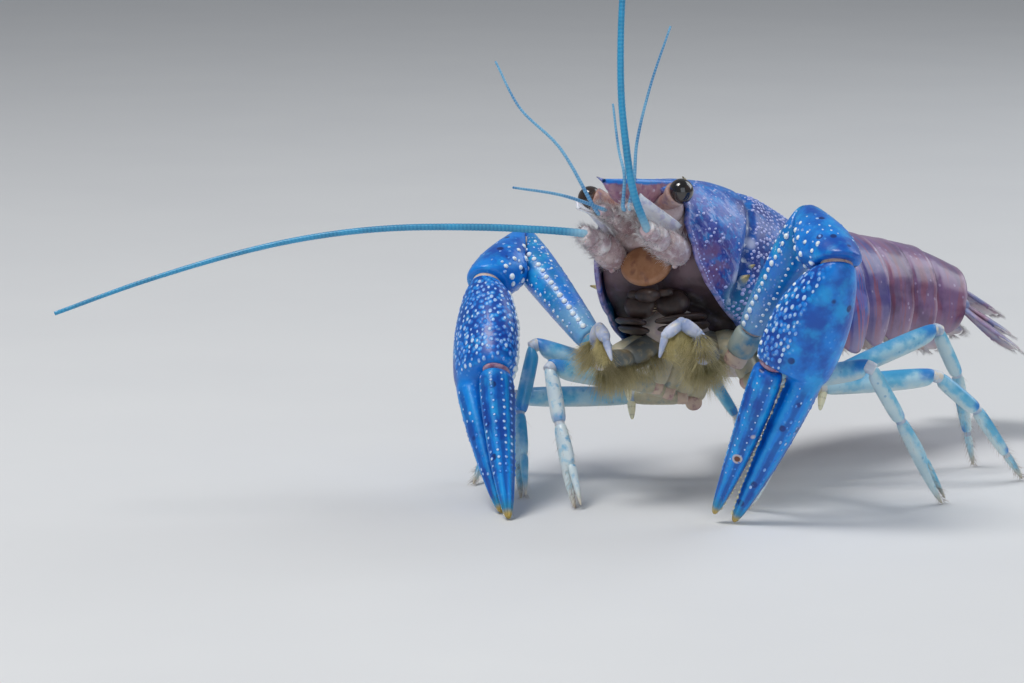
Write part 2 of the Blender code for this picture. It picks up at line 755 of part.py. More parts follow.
def claw(name, sign):
    down = -TRUNK_TURN.col[2]
    pose = {key: Vector(value) for key, value in CLAWS[name].items()}
    hip = on_side(CLAW_HIP, sign) + down * (GAP / 2)
    coxa = on_side(CLAW_COXA, sign)
    knee, wrist = pose["knee"], pose["wrist"]
    ischium = coxa.lerp(knee, 0.2)
    upper = (knee - coxa).normalized()
    fore = (wrist - knee).normalized()
    hand = (pose["palm_aim"] - wrist).normalized()
    inner = square_to(pose["inner"], hand)
    stops = [
        (hip, coxa, ((0.0, 1.9, 1.8), (0.5, 2.0, 1.9), (1.0, 1.9, 1.8))),
        (coxa, ischium, ((0.5, 1.7, 1.6), (1.0, 1.55, 1.5))),
    ]
    rings = limb_rings(stops, TRUNK_TURN.col[1], 14, start_normal=down, end_normal=upper)
    make_object(f"claw_base_{name}", skin(rings), "claw")

    elbow = (upper + fore).normalized()
    side = square_to(pose["inner"], upper)
    stations = ((0.0, 1.5, 1.5), (0.1, 1.75, 1.7), (0.4, 2.1, 2.1), (0.75, 2.35, 2.55))
    stations += ((0.84, 2.3, 2.4), (1.0, 1.8, 1.9))
    rings = limb_rings(
        [(ischium, knee, stations)], side, 16, start_normal=upper, end_normal=elbow
    )
    merus = make_object(f"claw_merus_{name}", skin(rings), "claw")
    up = side.cross(upper)
    low = -1 if up.z > 0 else 1
    beads = rows(
        ischium.lerp(knee, 0.1),
        ischium.lerp(knee, 0.8),
        side,
        up * low,
        (7, 6),
        (35, 95),
        lambda share: 1.75 + 0.5 * share,
        0.42,
    )
    fuse(merus, beads)

    turn = (fore + hand).normalized()
    side = square_to(pose["inner"], fore)
    stations = ((0.0, 1.8, 1.9), (0.37, 2.8, 2.7), (0.52, 3.2, 3.0), (0.64, 3.1, 2.9))
    stations += ((1.0, 2.1, 2.1),)
    rings = limb_rings(
        [(knee, wrist, stations)], side, 16, start_normal=elbow, end_normal=turn
    )
    carpus = make_object(f"claw_carpus_{name}", skin(rings), "claw")
    up = side.cross(fore)
    beads = rows(
        knee.lerp(wrist, 0.45),
        knee.lerp(wrist, 0.72),
        side,
        up,
        (2, 2, 2),
        (0, 32, -32),
        lambda share: 2.85,
        0.5,
    )
    fuse(carpus, beads)
    hand_pieces(name, sign, wrist, hand, inner, turn, pose)


def hand_pieces(name, sign, wrist, hand, inner, turn, pose):
    """The palm with its fixed finger, and the moving finger on the palm's inner corner."""
    thick = inner.cross(hand) * sign

    def place(u, v):
        return wrist + hand * u + inner * v

    first = oval(wrist, inner, thick, 2.1, 2.0, 2.0, FINGER_SIDES)
    rings = [flatten_to(first, hand, wrist + turn * (GAP / 2), turn)]
    for u, outer, mesial, half in PALM:
        centre = place(u, (mesial - outer) / 2)
        wide = (mesial + outer) / 2
        rings.append(oval(centre, inner, thick, wide, half, half, FINGER_SIDES, 2.2))
    face_u = PALM_LENGTH
    rings.append(oval(place(face_u - 0.2, -0.1), inner, thick, 4.15, 2.8, 2.8, FINGER_SIDES, 2.2))
    stations = ((0.0, 1.9, 2.2), (0.25, 1.85, 2.1), (0.55, 1.5, 1.7))
    stations += ((0.82, 1.0, 1.1), (1.0, 0.5, 0.5))
    finger_line(rings, place(face_u, -2.05), pose["fixed_tip"], -0.15, hand, inner, thick, stations)
    palm = make_object(f"claw_palm_{name}", skin(rings), "claw")
    beads = []
    for row, (v, lift, count) in enumerate(((4.15, 0.3, 6), (3.45, 1.95, 5), (2.3, 2.7, 4))):
        for k in range(count):
            u = 3.9 + (k + 0.5 * (row % 2)) * 8.4 / count
            bulge = 0.84 + 0.16 * math.sin(u / 5)
            beads.append(bead(place(u, v * bulge) + thick * lift, 0.56 - 0.06 * row))
    fuse(palm, beads)
    cut_at_floor(palm)

    rings = []
    stations = ((0.0, 1.8, 2.2), (0.22, 1.8, 2.1), (0.55, 1.4, 1.65))
    stations += ((0.82, 0.95, 1.05), (1.0, 0.45, 0.45))
    base = place(face_u + GAP, 2.15)
    finger_line(rings, base, pose["dactyl_tip"], 0.7, hand, inner, thick, stations)
    dactyl = make_object(f"claw_dactyl_{name}", skin(rings), "claw")
    if pose["dactyl_tip"].z == 0.0:
        cut_at_floor(dactyl)


def finger_line(rings, base, tip, bow, hand, inner, thick, stations):
    """Adds a finger's rings, bowed outwards between its square root and its tip."""
    if tip.z == 0.0:
        tip = tip - Vector((0, 0, TIP_SINK))
    way = (tip - base).normalized()
    across = square_to(inner, way)
    up = square_to(square_to(thick, across), way)
    for share, half_w, half_h in stations:
        centre = base.lerp(tip, share) + inner * (bow * math.sin(math.pi * share))
        ring = oval(centre, across, up, half_w, half_h, half_h, FINGER_SIDES)
        rings.append(flatten_to(ring, way, base, hand) if share == 0.0 else ring)


def walking_leg(name, start_s, knee, wrist, tip):
    """A leg in two nodes: the thigh with its hip, and the shin with its foot."""
    sign = -1.0 if name.endswith("right") else 1.0
    hip = trunk(sign * LEG_X, start_s, BELLY_N - GAP / 2)
    turn = hip + TRUNK_TURN @ Vector((sign * LEG_COXA.x, LEG_COXA.y, LEG_COXA.z))
    knee, wrist = Vector(knee), Vector(wrist)
    tip = Vector((*tip, -TIP_SINK))
    down = -TRUNK_TURN.col[2]
    upper = (knee - turn).normalized()
    shin = (wrist - knee).normalized()
    bend = (upper + shin).normalized()
    side = upper.cross(Vector((0, 0, 1))).normalized()
    stops = [
        (hip, turn, ((0.0, 1.25, 1.25), (0.45, 1.3, 1.35), (1.0, 1.2, 1.3))),
        (turn, knee, ((0.28, 1.05, 1.2), (0.6, 1.1, 1.3), (0.88, 0.95, 1.1), (1.0, 0.85, 0.9))),
    ]
    rings = limb_rings(stops, side, 10, start_normal=down, end_normal=bend)
    thigh = make_object(f"{name}_upper", skin(rings), "leg")
    if name[4] in "34":
        root = turn.lerp(knee, 0.3) + down * 0.35
        fuse(thigh, [spine(root, root + down * 2.4 - upper * 0.3, 0.62, 6)])
    chelate = name[4] in "23"
    foot = ((0.3, 0.75, 0.95), (0.62, 0.6, 0.8), (0.85, 0.45, 0.5), (1.0, 0.36, 0.36))
    if chelate:
        foot = ((0.3, 0.8, 1.05), (0.58, 0.75, 1.05), (0.85, 0.5, 0.62), (1.0, 0.38, 0.38))
    stops = [
        (knee, wrist, ((0.0, 0.85, 0.9), (0.3, 0.85, 0.95), (0.8, 0.85, 0.95), (1.0, 0.7, 0.75))),
        (wrist, tip, foot),
    ]
    rings = limb_rings(stops, side, 10, start_normal=bend)
    shank = make_object(f"{name}_lower", skin(rings), "leg")
    cut_at_floor(shank)


def centre_on_floor():
    """Moves everything so that the middle of the outer box stands over the origin."""
    points = [v.co for obj in bpy.data.objects for v in obj.data.vertices]
    middle = [(min(p[k] for p in points) + max(p[k] for p in points)) / 2 for k in range(2)]
    shift = Matrix.Translation((-middle[0], -middle[1], 0))
    for obj in bpy.data.objects:
        obj.data.transform(shift)


def main():
    clear_scene()
    cephalothorax()
    eyes()
    antennules()
    antennae()
    antenna_scales()
    maxillipeds()
    abdomen()
    for name, sign in SIDES.items():
        claw(name, sign)
    for name, (start_s, knee, wrist, tip) in LEGS.items():
        walking_leg(name, start_s, knee, wrist, tip)
    centre_on_floor()


main()
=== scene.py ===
"""Blue Everglades crayfish: shell, joints, mouth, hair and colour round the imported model.

Lengths are millimetres in the animal's standing frame until a piece is settled into metres.
The trunk has its own axes: x to the animal's left, s backwards from the carapace's rear
edge, n up through its back.
"""

import math
import random

import bpy
import numpy as np
from mathutils import Matrix, Vector, noise
from mathutils.bvhtree import BVHTree


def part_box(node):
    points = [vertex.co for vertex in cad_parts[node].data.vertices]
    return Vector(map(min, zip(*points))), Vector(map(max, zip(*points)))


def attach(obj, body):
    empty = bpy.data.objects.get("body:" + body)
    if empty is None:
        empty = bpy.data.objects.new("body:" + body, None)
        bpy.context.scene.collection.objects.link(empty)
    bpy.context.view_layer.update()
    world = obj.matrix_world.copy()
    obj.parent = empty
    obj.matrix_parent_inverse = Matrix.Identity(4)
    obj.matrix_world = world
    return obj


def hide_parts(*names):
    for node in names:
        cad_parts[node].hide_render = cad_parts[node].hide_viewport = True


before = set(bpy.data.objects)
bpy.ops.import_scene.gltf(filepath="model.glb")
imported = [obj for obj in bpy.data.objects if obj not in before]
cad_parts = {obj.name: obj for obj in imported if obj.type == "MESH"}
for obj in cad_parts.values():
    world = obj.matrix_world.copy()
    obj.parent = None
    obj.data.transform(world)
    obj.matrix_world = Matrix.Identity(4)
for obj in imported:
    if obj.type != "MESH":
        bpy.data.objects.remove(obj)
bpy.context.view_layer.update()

MM = 0.001
# A way that no piece runs along, to turn things about
ANY_WAY = Vector((0.31, 0.52, 0.79))
SIDES = {"left": 1.0, "right": -1.0}

# Trunk and its carriage
HEAD_UP = 19.0
LEAN_RIGHT = 8.0
TRUNK_REAR = Vector((0.0, 17.0, 19.3))
TRUNK_TURN = Matrix.Rotation(math.radians(-HEAD_UP), 3, "X") @ Matrix.Rotation(
    math.radians(-LEAN_RIGHT), 3, "Y"
)
# The ways that the trunk's axes run
LEFT, BACK, UP = (way.copy() for way in TRUNK_TURN.col)
EYE_RADIUS = 1.35
EYE = Vector((5.8, -33.0, 5.5))

# Carapace stations: s, half width, height above the axis, depth below it
CARAPACE = (
    (-32.0, 5.0, 6.5, 5.2),
    (-31.0, 5.8, 7.3, 5.9),
    (-29.0, 6.9, 8.2, 6.8),
    (-26.0, 8.1, 9.0, 8.6),
    (-21.0, 9.3, 9.7, 10.3),
    (-14.0, 9.9, 9.9, 10.6),
    (-7.0, 9.7, 9.3, 10.3),
    (-2.0, 9.0, 8.3, 9.2),
    (0.0, 8.5, 7.7, 8.0),
)
SIDE_SWELL = 2.3
BELLY_SWELL = 3.0
BELLY_N = -9.0
GROOVE_TOP_S = -14.0
GROOVE_SWEEP = 9.0
GROOVE_DEPTH = 0.6
GROOVE_WIDTH = 0.65
# The shell's front edge, from the rostrum down to its lower corner: height share, s
FRONT_EDGE = (
    (-1.0, -21.0),
    (-0.62, -22.0),
    (-0.55, -23.9),
    (-0.48, -26.1),
    (-0.34, -28.4),
    (-0.125, -29.8),
    (0.1, -30.8),
    (0.3, -31.2),
    (0.55, -30.6),
    (0.8, -30.9),
    (0.9, -31.8),
    (1.0, -32.0),
)
# The shell's spines on each side: root, tip, half width
SHELL_SPINES = (
    ((8.2, -22.7, -2.6), (9.9, -24.2, -2.4), 0.62),
    ((8.6, -21.9, -0.9), (9.7, -22.6, -0.8), 0.34),
    ((4.5, -28.6, 6.9), (4.9, -31.0, 7.5), 0.42),
)
ROSTRUM_SPINE = ((1.75, -36.2, 6.2), (2.1, -37.7, 6.5), 0.3)
# Granules: how often one is tried, how close they come, and the cheek's corner that has few
GRANULE_TRIES = 9000
GRANULE_GAP = 0.46
CHEEK_S = -27.5
CHEEK_N = -2.8
# Rostrum stations: s, half width, height of its top, thickness
ROSTRUM = (
    (-27.6, 3.2, 8.2, 4.2),
    (-30.0, 2.85, 7.95, 4.4),
    (-32.5, 2.4, 7.45, 4.0),
    (-34.8, 2.0, 6.95, 3.3),
    (-36.5, 1.7, 6.6, 2.7),
    (-37.2, 1.25, 6.45, 2.3),
    (-38.6, 0.72, 6.15, 1.5),
    (-40.0, 0.2, 5.85, 0.5),
)
RIM_THICK = 0.6
# How far down the side the shell's lower edge lies, from front to rear
LOWER_EDGE = ((0.0, 0.6), (0.2, 0.72), (0.5, 0.86), (0.8, 0.8), (0.93, 0.62), (1.0, 0.4))
# The mouth's lining: shares of its length where its walls start and end, and its deepest point
LINING_WALLS = (0.1, 0.75)
LINING_REAR = Vector((0, -2.0, 0))
THROAT = Vector((0, -26.0, -4.0))

# Third mouth limbs: joints from root to tip, half widths and depths, and how each swells
FOOT_JAW = (
    (3.4, -20.8, -8.4),
    (5.0, -24.0, -11.0),
    (6.5, -27.4, -11.9),
    (6.45, -29.0, -9.7),
    (5.2, -30.4, -8.7),
    (3.8, -31.3, -10.2),
    (3.0, -31.0, -12.7),
)
FOOT_JAW_SIZES = ((1.7, 1.3), (1.7, 1.25), (0.95, 0.85), (0.84, 0.78), (0.74, 0.66), (0.5, 0.45))
FOOT_JAW_SWELL = (
    (-0.05, 0.7, 0.72),
    (0.1, 0.94, 0.94),
    (0.5, 1.04, 1.03),
    (0.9, 0.96, 0.96),
    (1.05, 0.66, 0.7),
)
# Hairs of the two brushes on each
OLIVE_COUNT = 3000
STRAW_COUNT = 800

# Abdomen: length, bend down, bend to the left, half width, back height, side plate depth
ABDOMEN = (
    (3.2, -15.5, 3.0, 8.0, 8.4, 4.6),
    (5.5, -11.5, 3.0, 8.6, 9.2, 6.8),
    (5.7, 12.5, 5.0, 8.5, 7.9, 6.8),
    (5.5, 4.0, 5.0, 8.2, 6.9, 6.4),
    (5.2, 1.0, 5.0, 7.7, 6.6, 5.8),
    (5.6, -1.0, 5.0, 7.0, 6.2, 4.4),
)
TAIL_RING = (6.2, 4.2, 3.4)
RING_TUCK = 0.9
STERNITE_SHARE = 0.52
# A ring's outline: the share that each side plate takes, where it hangs from, its roundness
PLATE_SHARE = 0.16
PLATE_N = -1.6
RING_SWELL = 2.3
# Shares of a blade's length: where its end starts to round, and where its crease lies
BLADE_ROUND = 0.93
BLADE_CREASE = 0.64
TELSON_BEND = 21.0
TELSON_N = 2.0
TELSON = ((0.0, 3.1, 0.95), (2.8, 3.5, 0.85), (5.8, 3.3, 0.7), (7.7, 2.7, 0.6), (8.7, 1.3, 0.5))
UROPOD = ((0.0, 0.95, 0.75), (2.0, 1.7, 0.6), (4.8, 2.7, 0.5), (7.2, 2.5, 0.42), (8.6, 1.2, 0.35))
UROPODS = {"inner": (3.2, 0.1, 16.0, -0.12), "outer": (5.2, -1.2, 26.0, -0.24)}
PLEOPOD_LENGTH = 4.6

# Claws: knee, wrist, finger tips, and the way that the moving finger's side faces
CLAW_HIP = Vector((5.3, -20.2, BELLY_N))
CLAW_COXA = Vector((8.2, -22.8, -11.1))
CLAWS = {
    "left": {
        "knee": (18.6, -8.0, 32.7),
        "wrist": (25.0, -13.2, 29.6),
        "fixed_tip": (13.0, -14.0, 0.0),
        "dactyl_tip": (10.9, -14.7, 0.9),
        "inner": (-0.84, -0.54, 0.0),
        "palm_aim": (12.0, -14.3, 0.4),
    },
    "right": {
        "knee": (-23.2, -0.6, 26.1),
        "wrist": (-22.4, -9.3, 23.2),
        "fixed_tip": (-11.2, -23.6, 0.0),
        "dactyl_tip": (-8.7, -26.0, 0.0),
        "inner": (0.88, -0.43, 0.1),
        "palm_aim": (-17.6, -17.2, 13.5),
    },
}
# Arm, forearm and finger stations: share of the length, half width, half depth. The palm's
# are at millimetres from the wrist, with a shift towards its inner side as well.
ARM = (
    (0.0, 1.3, 1.3),
    (0.025, 1.55, 1.55),
    (0.1, 1.75, 1.7),
    (0.4, 2.1, 2.1),
    (0.75, 2.35, 2.5),
    (0.87, 2.3, 2.4),
    (0.96, 2.1, 2.2),
    (1.0, 1.85, 1.9),
)
FOREARM = (
    (0.0, 1.7, 1.75),
    (0.08, 2.15, 2.2),
    (0.37, 2.85, 2.75),
    (0.55, 3.15, 2.95),
    (0.72, 3.1, 2.9),
    (0.88, 2.85, 2.75),
    (0.98, 2.6, 2.55),
    (1.02, 2.2, 2.2),
)
PALM_LENGTH = 13.3
PALM = (
    (0.3, 1.75, 1.7, 0.0),
    (0.75, 2.2, 2.1, 0.0),
    (1.8, 2.85, 2.5, 0.0),
    (3.2, 3.4, 2.8, -0.1),
    (5.6, 4.15, 3.2, -0.05),
    (8.8, 4.45, 3.3, -0.05),
    (11.2, 4.4, 3.1, -0.1),
    (12.3, 4.3, 2.95, -0.1),
    (12.9, 4.1, 2.75, -0.15),
    (13.15, 3.4, 2.5, -0.7),
)
FINGER_SIZES = (
    (0.0, 1.85, 2.2),
    (0.12, 1.9, 2.2),
    (0.25, 1.82, 2.08),
    (0.4, 1.66, 1.88),
    (0.55, 1.45, 1.65),
    (0.7, 1.2, 1.36),
    (0.84, 0.9, 1.0),
    (0.94, 0.62, 0.66),
    (0.985, 0.36, 0.38),
    (1.0, 0.16, 0.16),
)
# Rows of beads on the arm: first and last share and how many, angle, size, how far they stray
ARM_ROWS = (
    ((0.06, 0.88, 14), -35, 0.34, 0.04),
    ((0.1, 0.84, 14), -88, 0.18, 0.07),
    ((0.45, 0.92, 8), 72, 0.2, 0.1),
    ((0.62, 0.92, 5), 4, 0.2, 0.2),
)
# Rows of beads on the forearm: angle, how many, size
FOREARM_ROWS = ((0, 4, 0.40), (26, 4, 0.32), (-26, 4, 0.34), (-50, 3, 0.26))
# Angles round a palm from its moving finger's side: its rows of beads (angle, how many,
# their size), where it is scaly, and how large its fingers' own bumps are
PALM_DRESS = {
    "left": (((-8, 8, 0.25),), (-62, -4), 0.12),
    "right": (((-50, 14, 0.5), (-28, 12, 0.4)), (-66, 128), 0.2),
}
# How far the two fingers' roots lie from the palm's middle
FIXED_SHIFT = 2.05
DACTYL_SHIFT = 2.15
# Degrees round the moving finger of its rows of bumps
BUMP_ANGLES = (-60, -20, 20, 60, 100, -100)
# Two brown spots on the left moving finger
SPOTS = ((16.0, -15.5, 10.4), (14.5, -15.9, 7.65))

# Walking legs: where each starts on the trunk, its knee, its wrist and its tip
LEG_X = 5.0
LEG_COXA = Vector((1.1, 0.2, -3.4))
LEGS = {
    "leg_2_right": (-15.9, (-12.6, -11.2, 14.6), (-10.0, -13.4, 8.7), (-5.6, -16.6)),
    "leg_3_right": (-12.8, (-17.6, -6.8, 16.1), (-17.3, -10.4, 8.7), (-13.9, -15.0)),
    "leg_4_right": (-9.7, (-21.2, -5.4, 9.6), (-24.4, -4.6, 5.6), (-23.0, -11.4)),
    "leg_5_right": (-6.7, (-12.6, 18.0, 14.2), (-12.8, 23.2, 10.2), (-8.4, 28.2)),
    "leg_2_left": (-15.9, (18.0, -6.6, 16.4), (16.5, -9.4, 9.2), (10.2, -6.4)),
    "leg_3_left": (-12.8, (23.4, -2.2, 16.6), (24.6, 2.9, 10.0), (27.2, 8.6)),
    "leg_4_left": (-9.7, (22.2, 16.3, 12.9), (25.4, 20.2, 8.7), (28.6, 25.9)),
    "leg_5_left": (-6.7, (18.4, 23.6, 17.0), (19.2, 27.4, 11.2), (20.0, 30.4)),
}
# Shares of a limb's length: where the second piece ends in arm and leg, and the leg's ankle
ARM_SECOND = 0.2
LEG_SECOND = 0.3
ANKLE = 0.64
HOOK_LENGTH = 2.75
LEG_HAIR_COUNT = 230

# The pieces of a leg: share of the length, half width, half depth, shift to the upper side
LEG_PIECES = {
    "hip": ((0.0, 1.15, 1.15), (0.2, 1.3, 1.3), (0.7, 1.3, 1.35), (1.0, 1.05, 1.1)),
    "second": ((0.02, 0.9, 1.0), (0.12, 1.08, 1.2), (0.8, 1.02, 1.18), (1.0, 0.86, 0.98)),
    "thigh": (
        (0.0, 0.86, 0.84),
        (0.04, 1.04, 0.98),
        (0.4, 1.22, 1.06),
        (0.7, 1.22, 1.05),
        (0.9, 1.1, 0.96),
        (0.98, 0.84, 0.8),
    ),
    "shin": (
        (0.04, 0.72, 0.7),
        (0.16, 0.92, 0.84),
        (0.75, 0.95, 0.86),
        (0.93, 0.84, 0.78),
        (0.98, 0.64, 0.62),
    ),
    "pincer": (
        (0.0, 0.62, 0.55),
        (0.05, 0.84, 0.7),
        (0.3, 1.02, 0.8),
        (0.49, 1.04, 0.78),
        (0.55, 0.5, 0.6, -0.52),
        (0.75, 0.4, 0.44, -0.6),
        (0.92, 0.26, 0.28, -0.5),
        (1.0, 0.09, 0.1, -0.34),
    ),
    "nipper": ((0.0, 0.4, 0.5), (0.12, 0.5, 0.56), (0.5, 0.38, 0.42), (0.85, 0.2, 0.22), (1.0, 0.08, 0.08)),
    "foot": ((0.0, 0.6, 0.56), (0.06, 0.82, 0.72), (0.5, 0.8, 0.68), (0.92, 0.66, 0.58), (1.0, 0.5, 0.46)),
    "toe": ((0.0, 0.42, 0.4), (0.1, 0.52, 0.48), (0.5, 0.4, 0.36), (0.85, 0.24, 0.22), (1.0, 0.09, 0.09)),
    "hook": ((0.0, 0.62, 0.6), (0.5, 0.5, 0.48), (0.85, 0.3, 0.3), (1.0, 0.14, 0.14)),
}

# Feelers: where each passes
ANTENNA_END = Vector((4.0, -37.0, 0.5))
ANTENNULE_END = Vector((1.75, -37.4, 2.9))
# The joints under the feelers: the solid that they dress, where they lie, and their radii
FEELER_BASES = {
    "antenna_base": (
        "antenna_base",
        ((4.3, -29.4, -0.7), (3.75, -33.0, -0.1), (3.85, -35.2, 0.2), ANTENNA_END),
        (1.75, 1.35, 1.05),
    ),
    "antennule_base": (
        "antennule",
        ((1.5, -29.8, 2.5), (1.6, -34.0, 2.75), (1.68, -35.8, 2.85), ANTENNULE_END),
        (1.25, 0.95, 0.78),
    ),
}
# How such a joint swells: share of its length, and of its radius across and in depth
BASE_SWELL = ((-0.04, 0.8, 0.8), (0.12, 0.92, 0.95), (0.6, 1.02, 1.0), (0.93, 1.0, 0.98), (1.03, 0.8, 0.8))
# How thick, how thin at the tip, and how long each ring is
ANTENNA_SIZES = (0.48, 0.24, 0.42)
ANTENNULE_SIZES = (0.24, 0.13, 0.32)
ANTENNAE = {
    "left": (
        (3.1, -19.1, 36.3),
        (2.2, -19.2, 41.0),
        (1.2, -18.8, 48.0),
        (0.2, -16.9, 57.5),
        (-0.8, -13.2, 68.0),
        (-1.5, -9.2, 79.0),
        (-2.2, -4.0, 90.0),
    ),
    "right": (
        (-8.0, -20.6, 31.7),
        (-14.0, -24.6, 32.0),
        (-21.5, -29.6, 31.9),
        (-28.5, -34.3, 31.0),
        (-35.5, -39.3, 29.2),
        (-44.0, -45.5, 26.1),
        (-52.0, -51.0, 22.6),
    ),
}
ANTENNULES = {
    "left_inner": ((1.2, -18.0, 38.0), (-0.2, -17.0, 41.0), (-1.4, -16.2, 45.6)),
    "left_outer": ((2.1, -17.4, 37.6), (1.8, -16.3, 41.8), (2.3, -14.3, 47.8), (3.8, -12.7, 54.1)),
    "right_outer": ((-6.2, -19.3, 40.6), (-10.4, -21.0, 45.0), (-13.2, -21.7, 50.1)),
    "right_inner": ((-4.0, -22.6, 36.0), (-6.8, -28.0, 37.2)),
}


# Tips stand this far above the floor before their rounding
TIP_LIFT = 0.12
HAIR_LIFT = 0.02
# Walls of the thin shells
SHELL_WALL = 0.5
SCALE_WALL = 0.22
RING_WALL = 0.38
BLADE_WALL = 0.42
# Radius of a hair at its root
LIMB_HAIR = 0.016
FINE_HAIR = 0.02
STRAW_HAIR = 0.022
OLIVE_HAIR = 0.023
FAN_HAIR = 0.024
# How far outside a limb's axis a search for its skin starts, and how far one looks
OUTSIDE = 12.0
SEARCH = 40.0

# The camera, from the left eye: millimetres, degrees, and its focal length
EYE_TO_CAMERA = Vector((227.9, -385.1, 54.1))
CAMERA_TURN = (81.0, 0.0, 33.0)
CAMERA_LENS = 143.97
# Where the lights look, in metres
LIT_POINT = Vector((0, 0, 0.02))

# Colours
COBALT = (0.001, 0.085, 0.46)
AZURE = (0.001, 0.23, 0.78)
# Cyan of the claws' painted highlights
CYAN_HIGHLIGHT = (0.01, 0.42, 0.88)
NIGHT = (0.003, 0.012, 0.12)
ICE = (0.56, 0.80, 0.88)
PEARL = (0.80, 0.86, 0.95)
PLUM = (0.20, 0.07, 0.20)
BROWN = (0.16, 0.08, 0.05)


def trunk(x, s, n):
    """A point of the trunk's own axes, in the standing frame."""
    return TRUNK_REAR + TRUNK_TURN @ Vector((x, s, n))


def on_side(point, sign):
    return trunk(sign * point[0], point[1], point[2])


def trunk_axes(points):
    """Rows of x, s and n, from rows of points of the standing frame."""
    return (points - np.array(TRUNK_REAR)) @ np.array(TRUNK_TURN)


def square_to(vector, along):
    return (vector - along * vector.dot(along)).normalized()


# The left eye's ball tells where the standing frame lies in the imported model
eye_low, eye_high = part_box("eye_left")
eye_centre = Vector(
    (eye_high.x - EYE_RADIUS * MM, (eye_low.y + eye_high.y) / 2, (eye_low.z + eye_high.z) / 2)
)
INTO_FRAME = Matrix.Translation(eye_centre - on_side(EYE, 1.0) * MM) @ Matrix.Scale(MM, 4)
OUT_OF_FRAME = INTO_FRAME.inverted()
FLOOR_Z = (OUT_OF_FRAME @ Vector((0, 0, 0))).z


class Value:
    """A socket of a finish, with the arithmetic that the finishes are written in."""

    def __init__(self, finish, socket):
        self.finish = finish
        self.socket = socket

    def __add__(self, other):
        return self.finish.math("ADD", self, other)

    def __sub__(self, other):
        return self.finish.math("SUBTRACT", self, other)

    def __rsub__(self, other):
        return self.finish.math("SUBTRACT", other, self)

    def __mul__(self, other):
        return self.finish.math("MULTIPLY", self, other)

    __radd__ = __add__
    __rmul__ = __mul__


class Finish:
    """A material round one Principled BSDF."""

    def __init__(self, name):
        self.material = bpy.data.materials.new(name)
        self.material.use_nodes = True
        self.tree = self.material.node_tree
        self.shader = self.tree.nodes["Principled BSDF"]
        self.colour = None

    def node(self, kind, settings=None, inputs=None):
        """Adds a node, sets it, fills its sockets, and gives its outputs as values."""
        made = self.tree.nodes.new(kind)
        for key, value in (settings or {}).items():
            setattr(made, key, value)
        for key, value in (inputs or {}).items():
            self.fill(made.inputs[key], value)
        return [Value(self, socket) for socket in made.outputs]

    def fill(self, socket, value):
        if isinstance(value, Value):
            self.tree.links.new(value.socket, socket)
        elif isinstance(value, tuple):
            socket.default_value = (*value, 1.0)
        else:
            socket.default_value = value

    def math(self, operation, first, second=0.0):
        return self.node("ShaderNodeMath", {"operation": operation}, {0: first, 1: second})[0]

    def vector(self, operation, first, second):
        settings = {"operation": operation}
        outputs = self.node("ShaderNodeVectorMath", settings, {0: first, 1: second})
        return outputs[1] if operation in ("DOT_PRODUCT", "DISTANCE") else outputs[0]

    def mix(self, factor, first, second):
        settings = {"data_type": "RGBA", "clamp_factor": True}
        return self.node("ShaderNodeMix", settings, {0: factor, 6: first, 7: second})[2]

    def place(self):
        return self.node("ShaderNodeTexCoord")[3]

    def attribute(self, name):
        return self.node("ShaderNodeAttribute", {"attribute_name": name})[2]

    def noise(self, scale, detail=4.0, rough=0.55, at=None):
        inputs = {"Vector": at or self.place(), "Scale": scale, "Detail": detail, "Roughness": rough}
        return self.node("ShaderNodeTexNoise", None, inputs)[0]

    def cells(self, scale):
        """0 at the middle of each cell of a pattern, rising to its borders."""
        return self.node("ShaderNodeTexVoronoi", None, {"Vector": self.place(), "Scale": scale})[0]

    def ramp(self, value, low, high):
        """0 at low, 1 at high, eased between them."""
        inputs = {"Value": value, "From Min": low, "From Max": high}
        return self.node("ShaderNodeMapRange", {"interpolation_type": "SMOOTHSTEP"}, inputs)[0]

    def trunk_place(self):
        """x, s and n of the point that is shaded, in millimetres."""
        rear = INTO_FRAME @ TRUNK_REAR
        offset = self.vector("SUBTRACT", self.place(), rear)
        return [self.vector("DOT_PRODUCT", offset, way / MM) for way in (LEFT, BACK, UP)]

    def near(self, point, radius, edge=0.5):
        """1 within a radius of a point of the standing frame, in millimetres."""
        distance = self.vector("DISTANCE", self.place(), INTO_FRAME @ point)
        return self.ramp(distance, radius * MM, radius * edge * MM)

    def bump(self, height, strength, depth_mm, under=None):
        inputs = {"Height": height, "Strength": strength, "Distance": depth_mm * MM}
        if under:
            inputs["Normal"] = under
        return self.node("ShaderNodeBump", None, inputs)[0]

    def base(self, factor, first, second):
        """Starts the finish's colour with two that mingle."""
        self.colour = self.mix(factor, first, second)

    def paint(self, mask, colour):
        """Lays a colour over what is there, where the mask is high."""
        self.colour = self.mix(mask, self.colour, colour)

    def wear(self, rough, coat=0.0, normal=None):
        """Fills what varies over the surface, and gives the finished material."""
        sockets = {"Base Color": self.colour, "Roughness": rough, "Coat Weight": coat}
        if normal:
            sockets["Normal"] = normal
        for key, value in sockets.items():
            self.fill(self.shader.inputs[key], value)
        return self.material

    def either_side(self, point, radius, edge=0.5):
        """1 near a point of the trunk's left side, and near its twin on the right."""
        left, right = (self.near(on_side(point, sign), radius, edge) for sign in SIDES.values())
        return left + right


def fixed_look(finish, specular=0.5, soft=0.0, soft_mm=0.6, soft_colour=(1.0, 0.6, 0.5)):
    """What is the same all over a surface, set on the shader's own sockets."""
    sockets = finish.shader.inputs
    sockets["Specular IOR Level"].default_value = specular
    sockets["Coat Roughness"].default_value = 0.12
    sockets["Subsurface Weight"].default_value = soft
    sockets["Subsurface Scale"].default_value = soft_mm * MM
    sockets["Subsurface Radius"].default_value = soft_colour


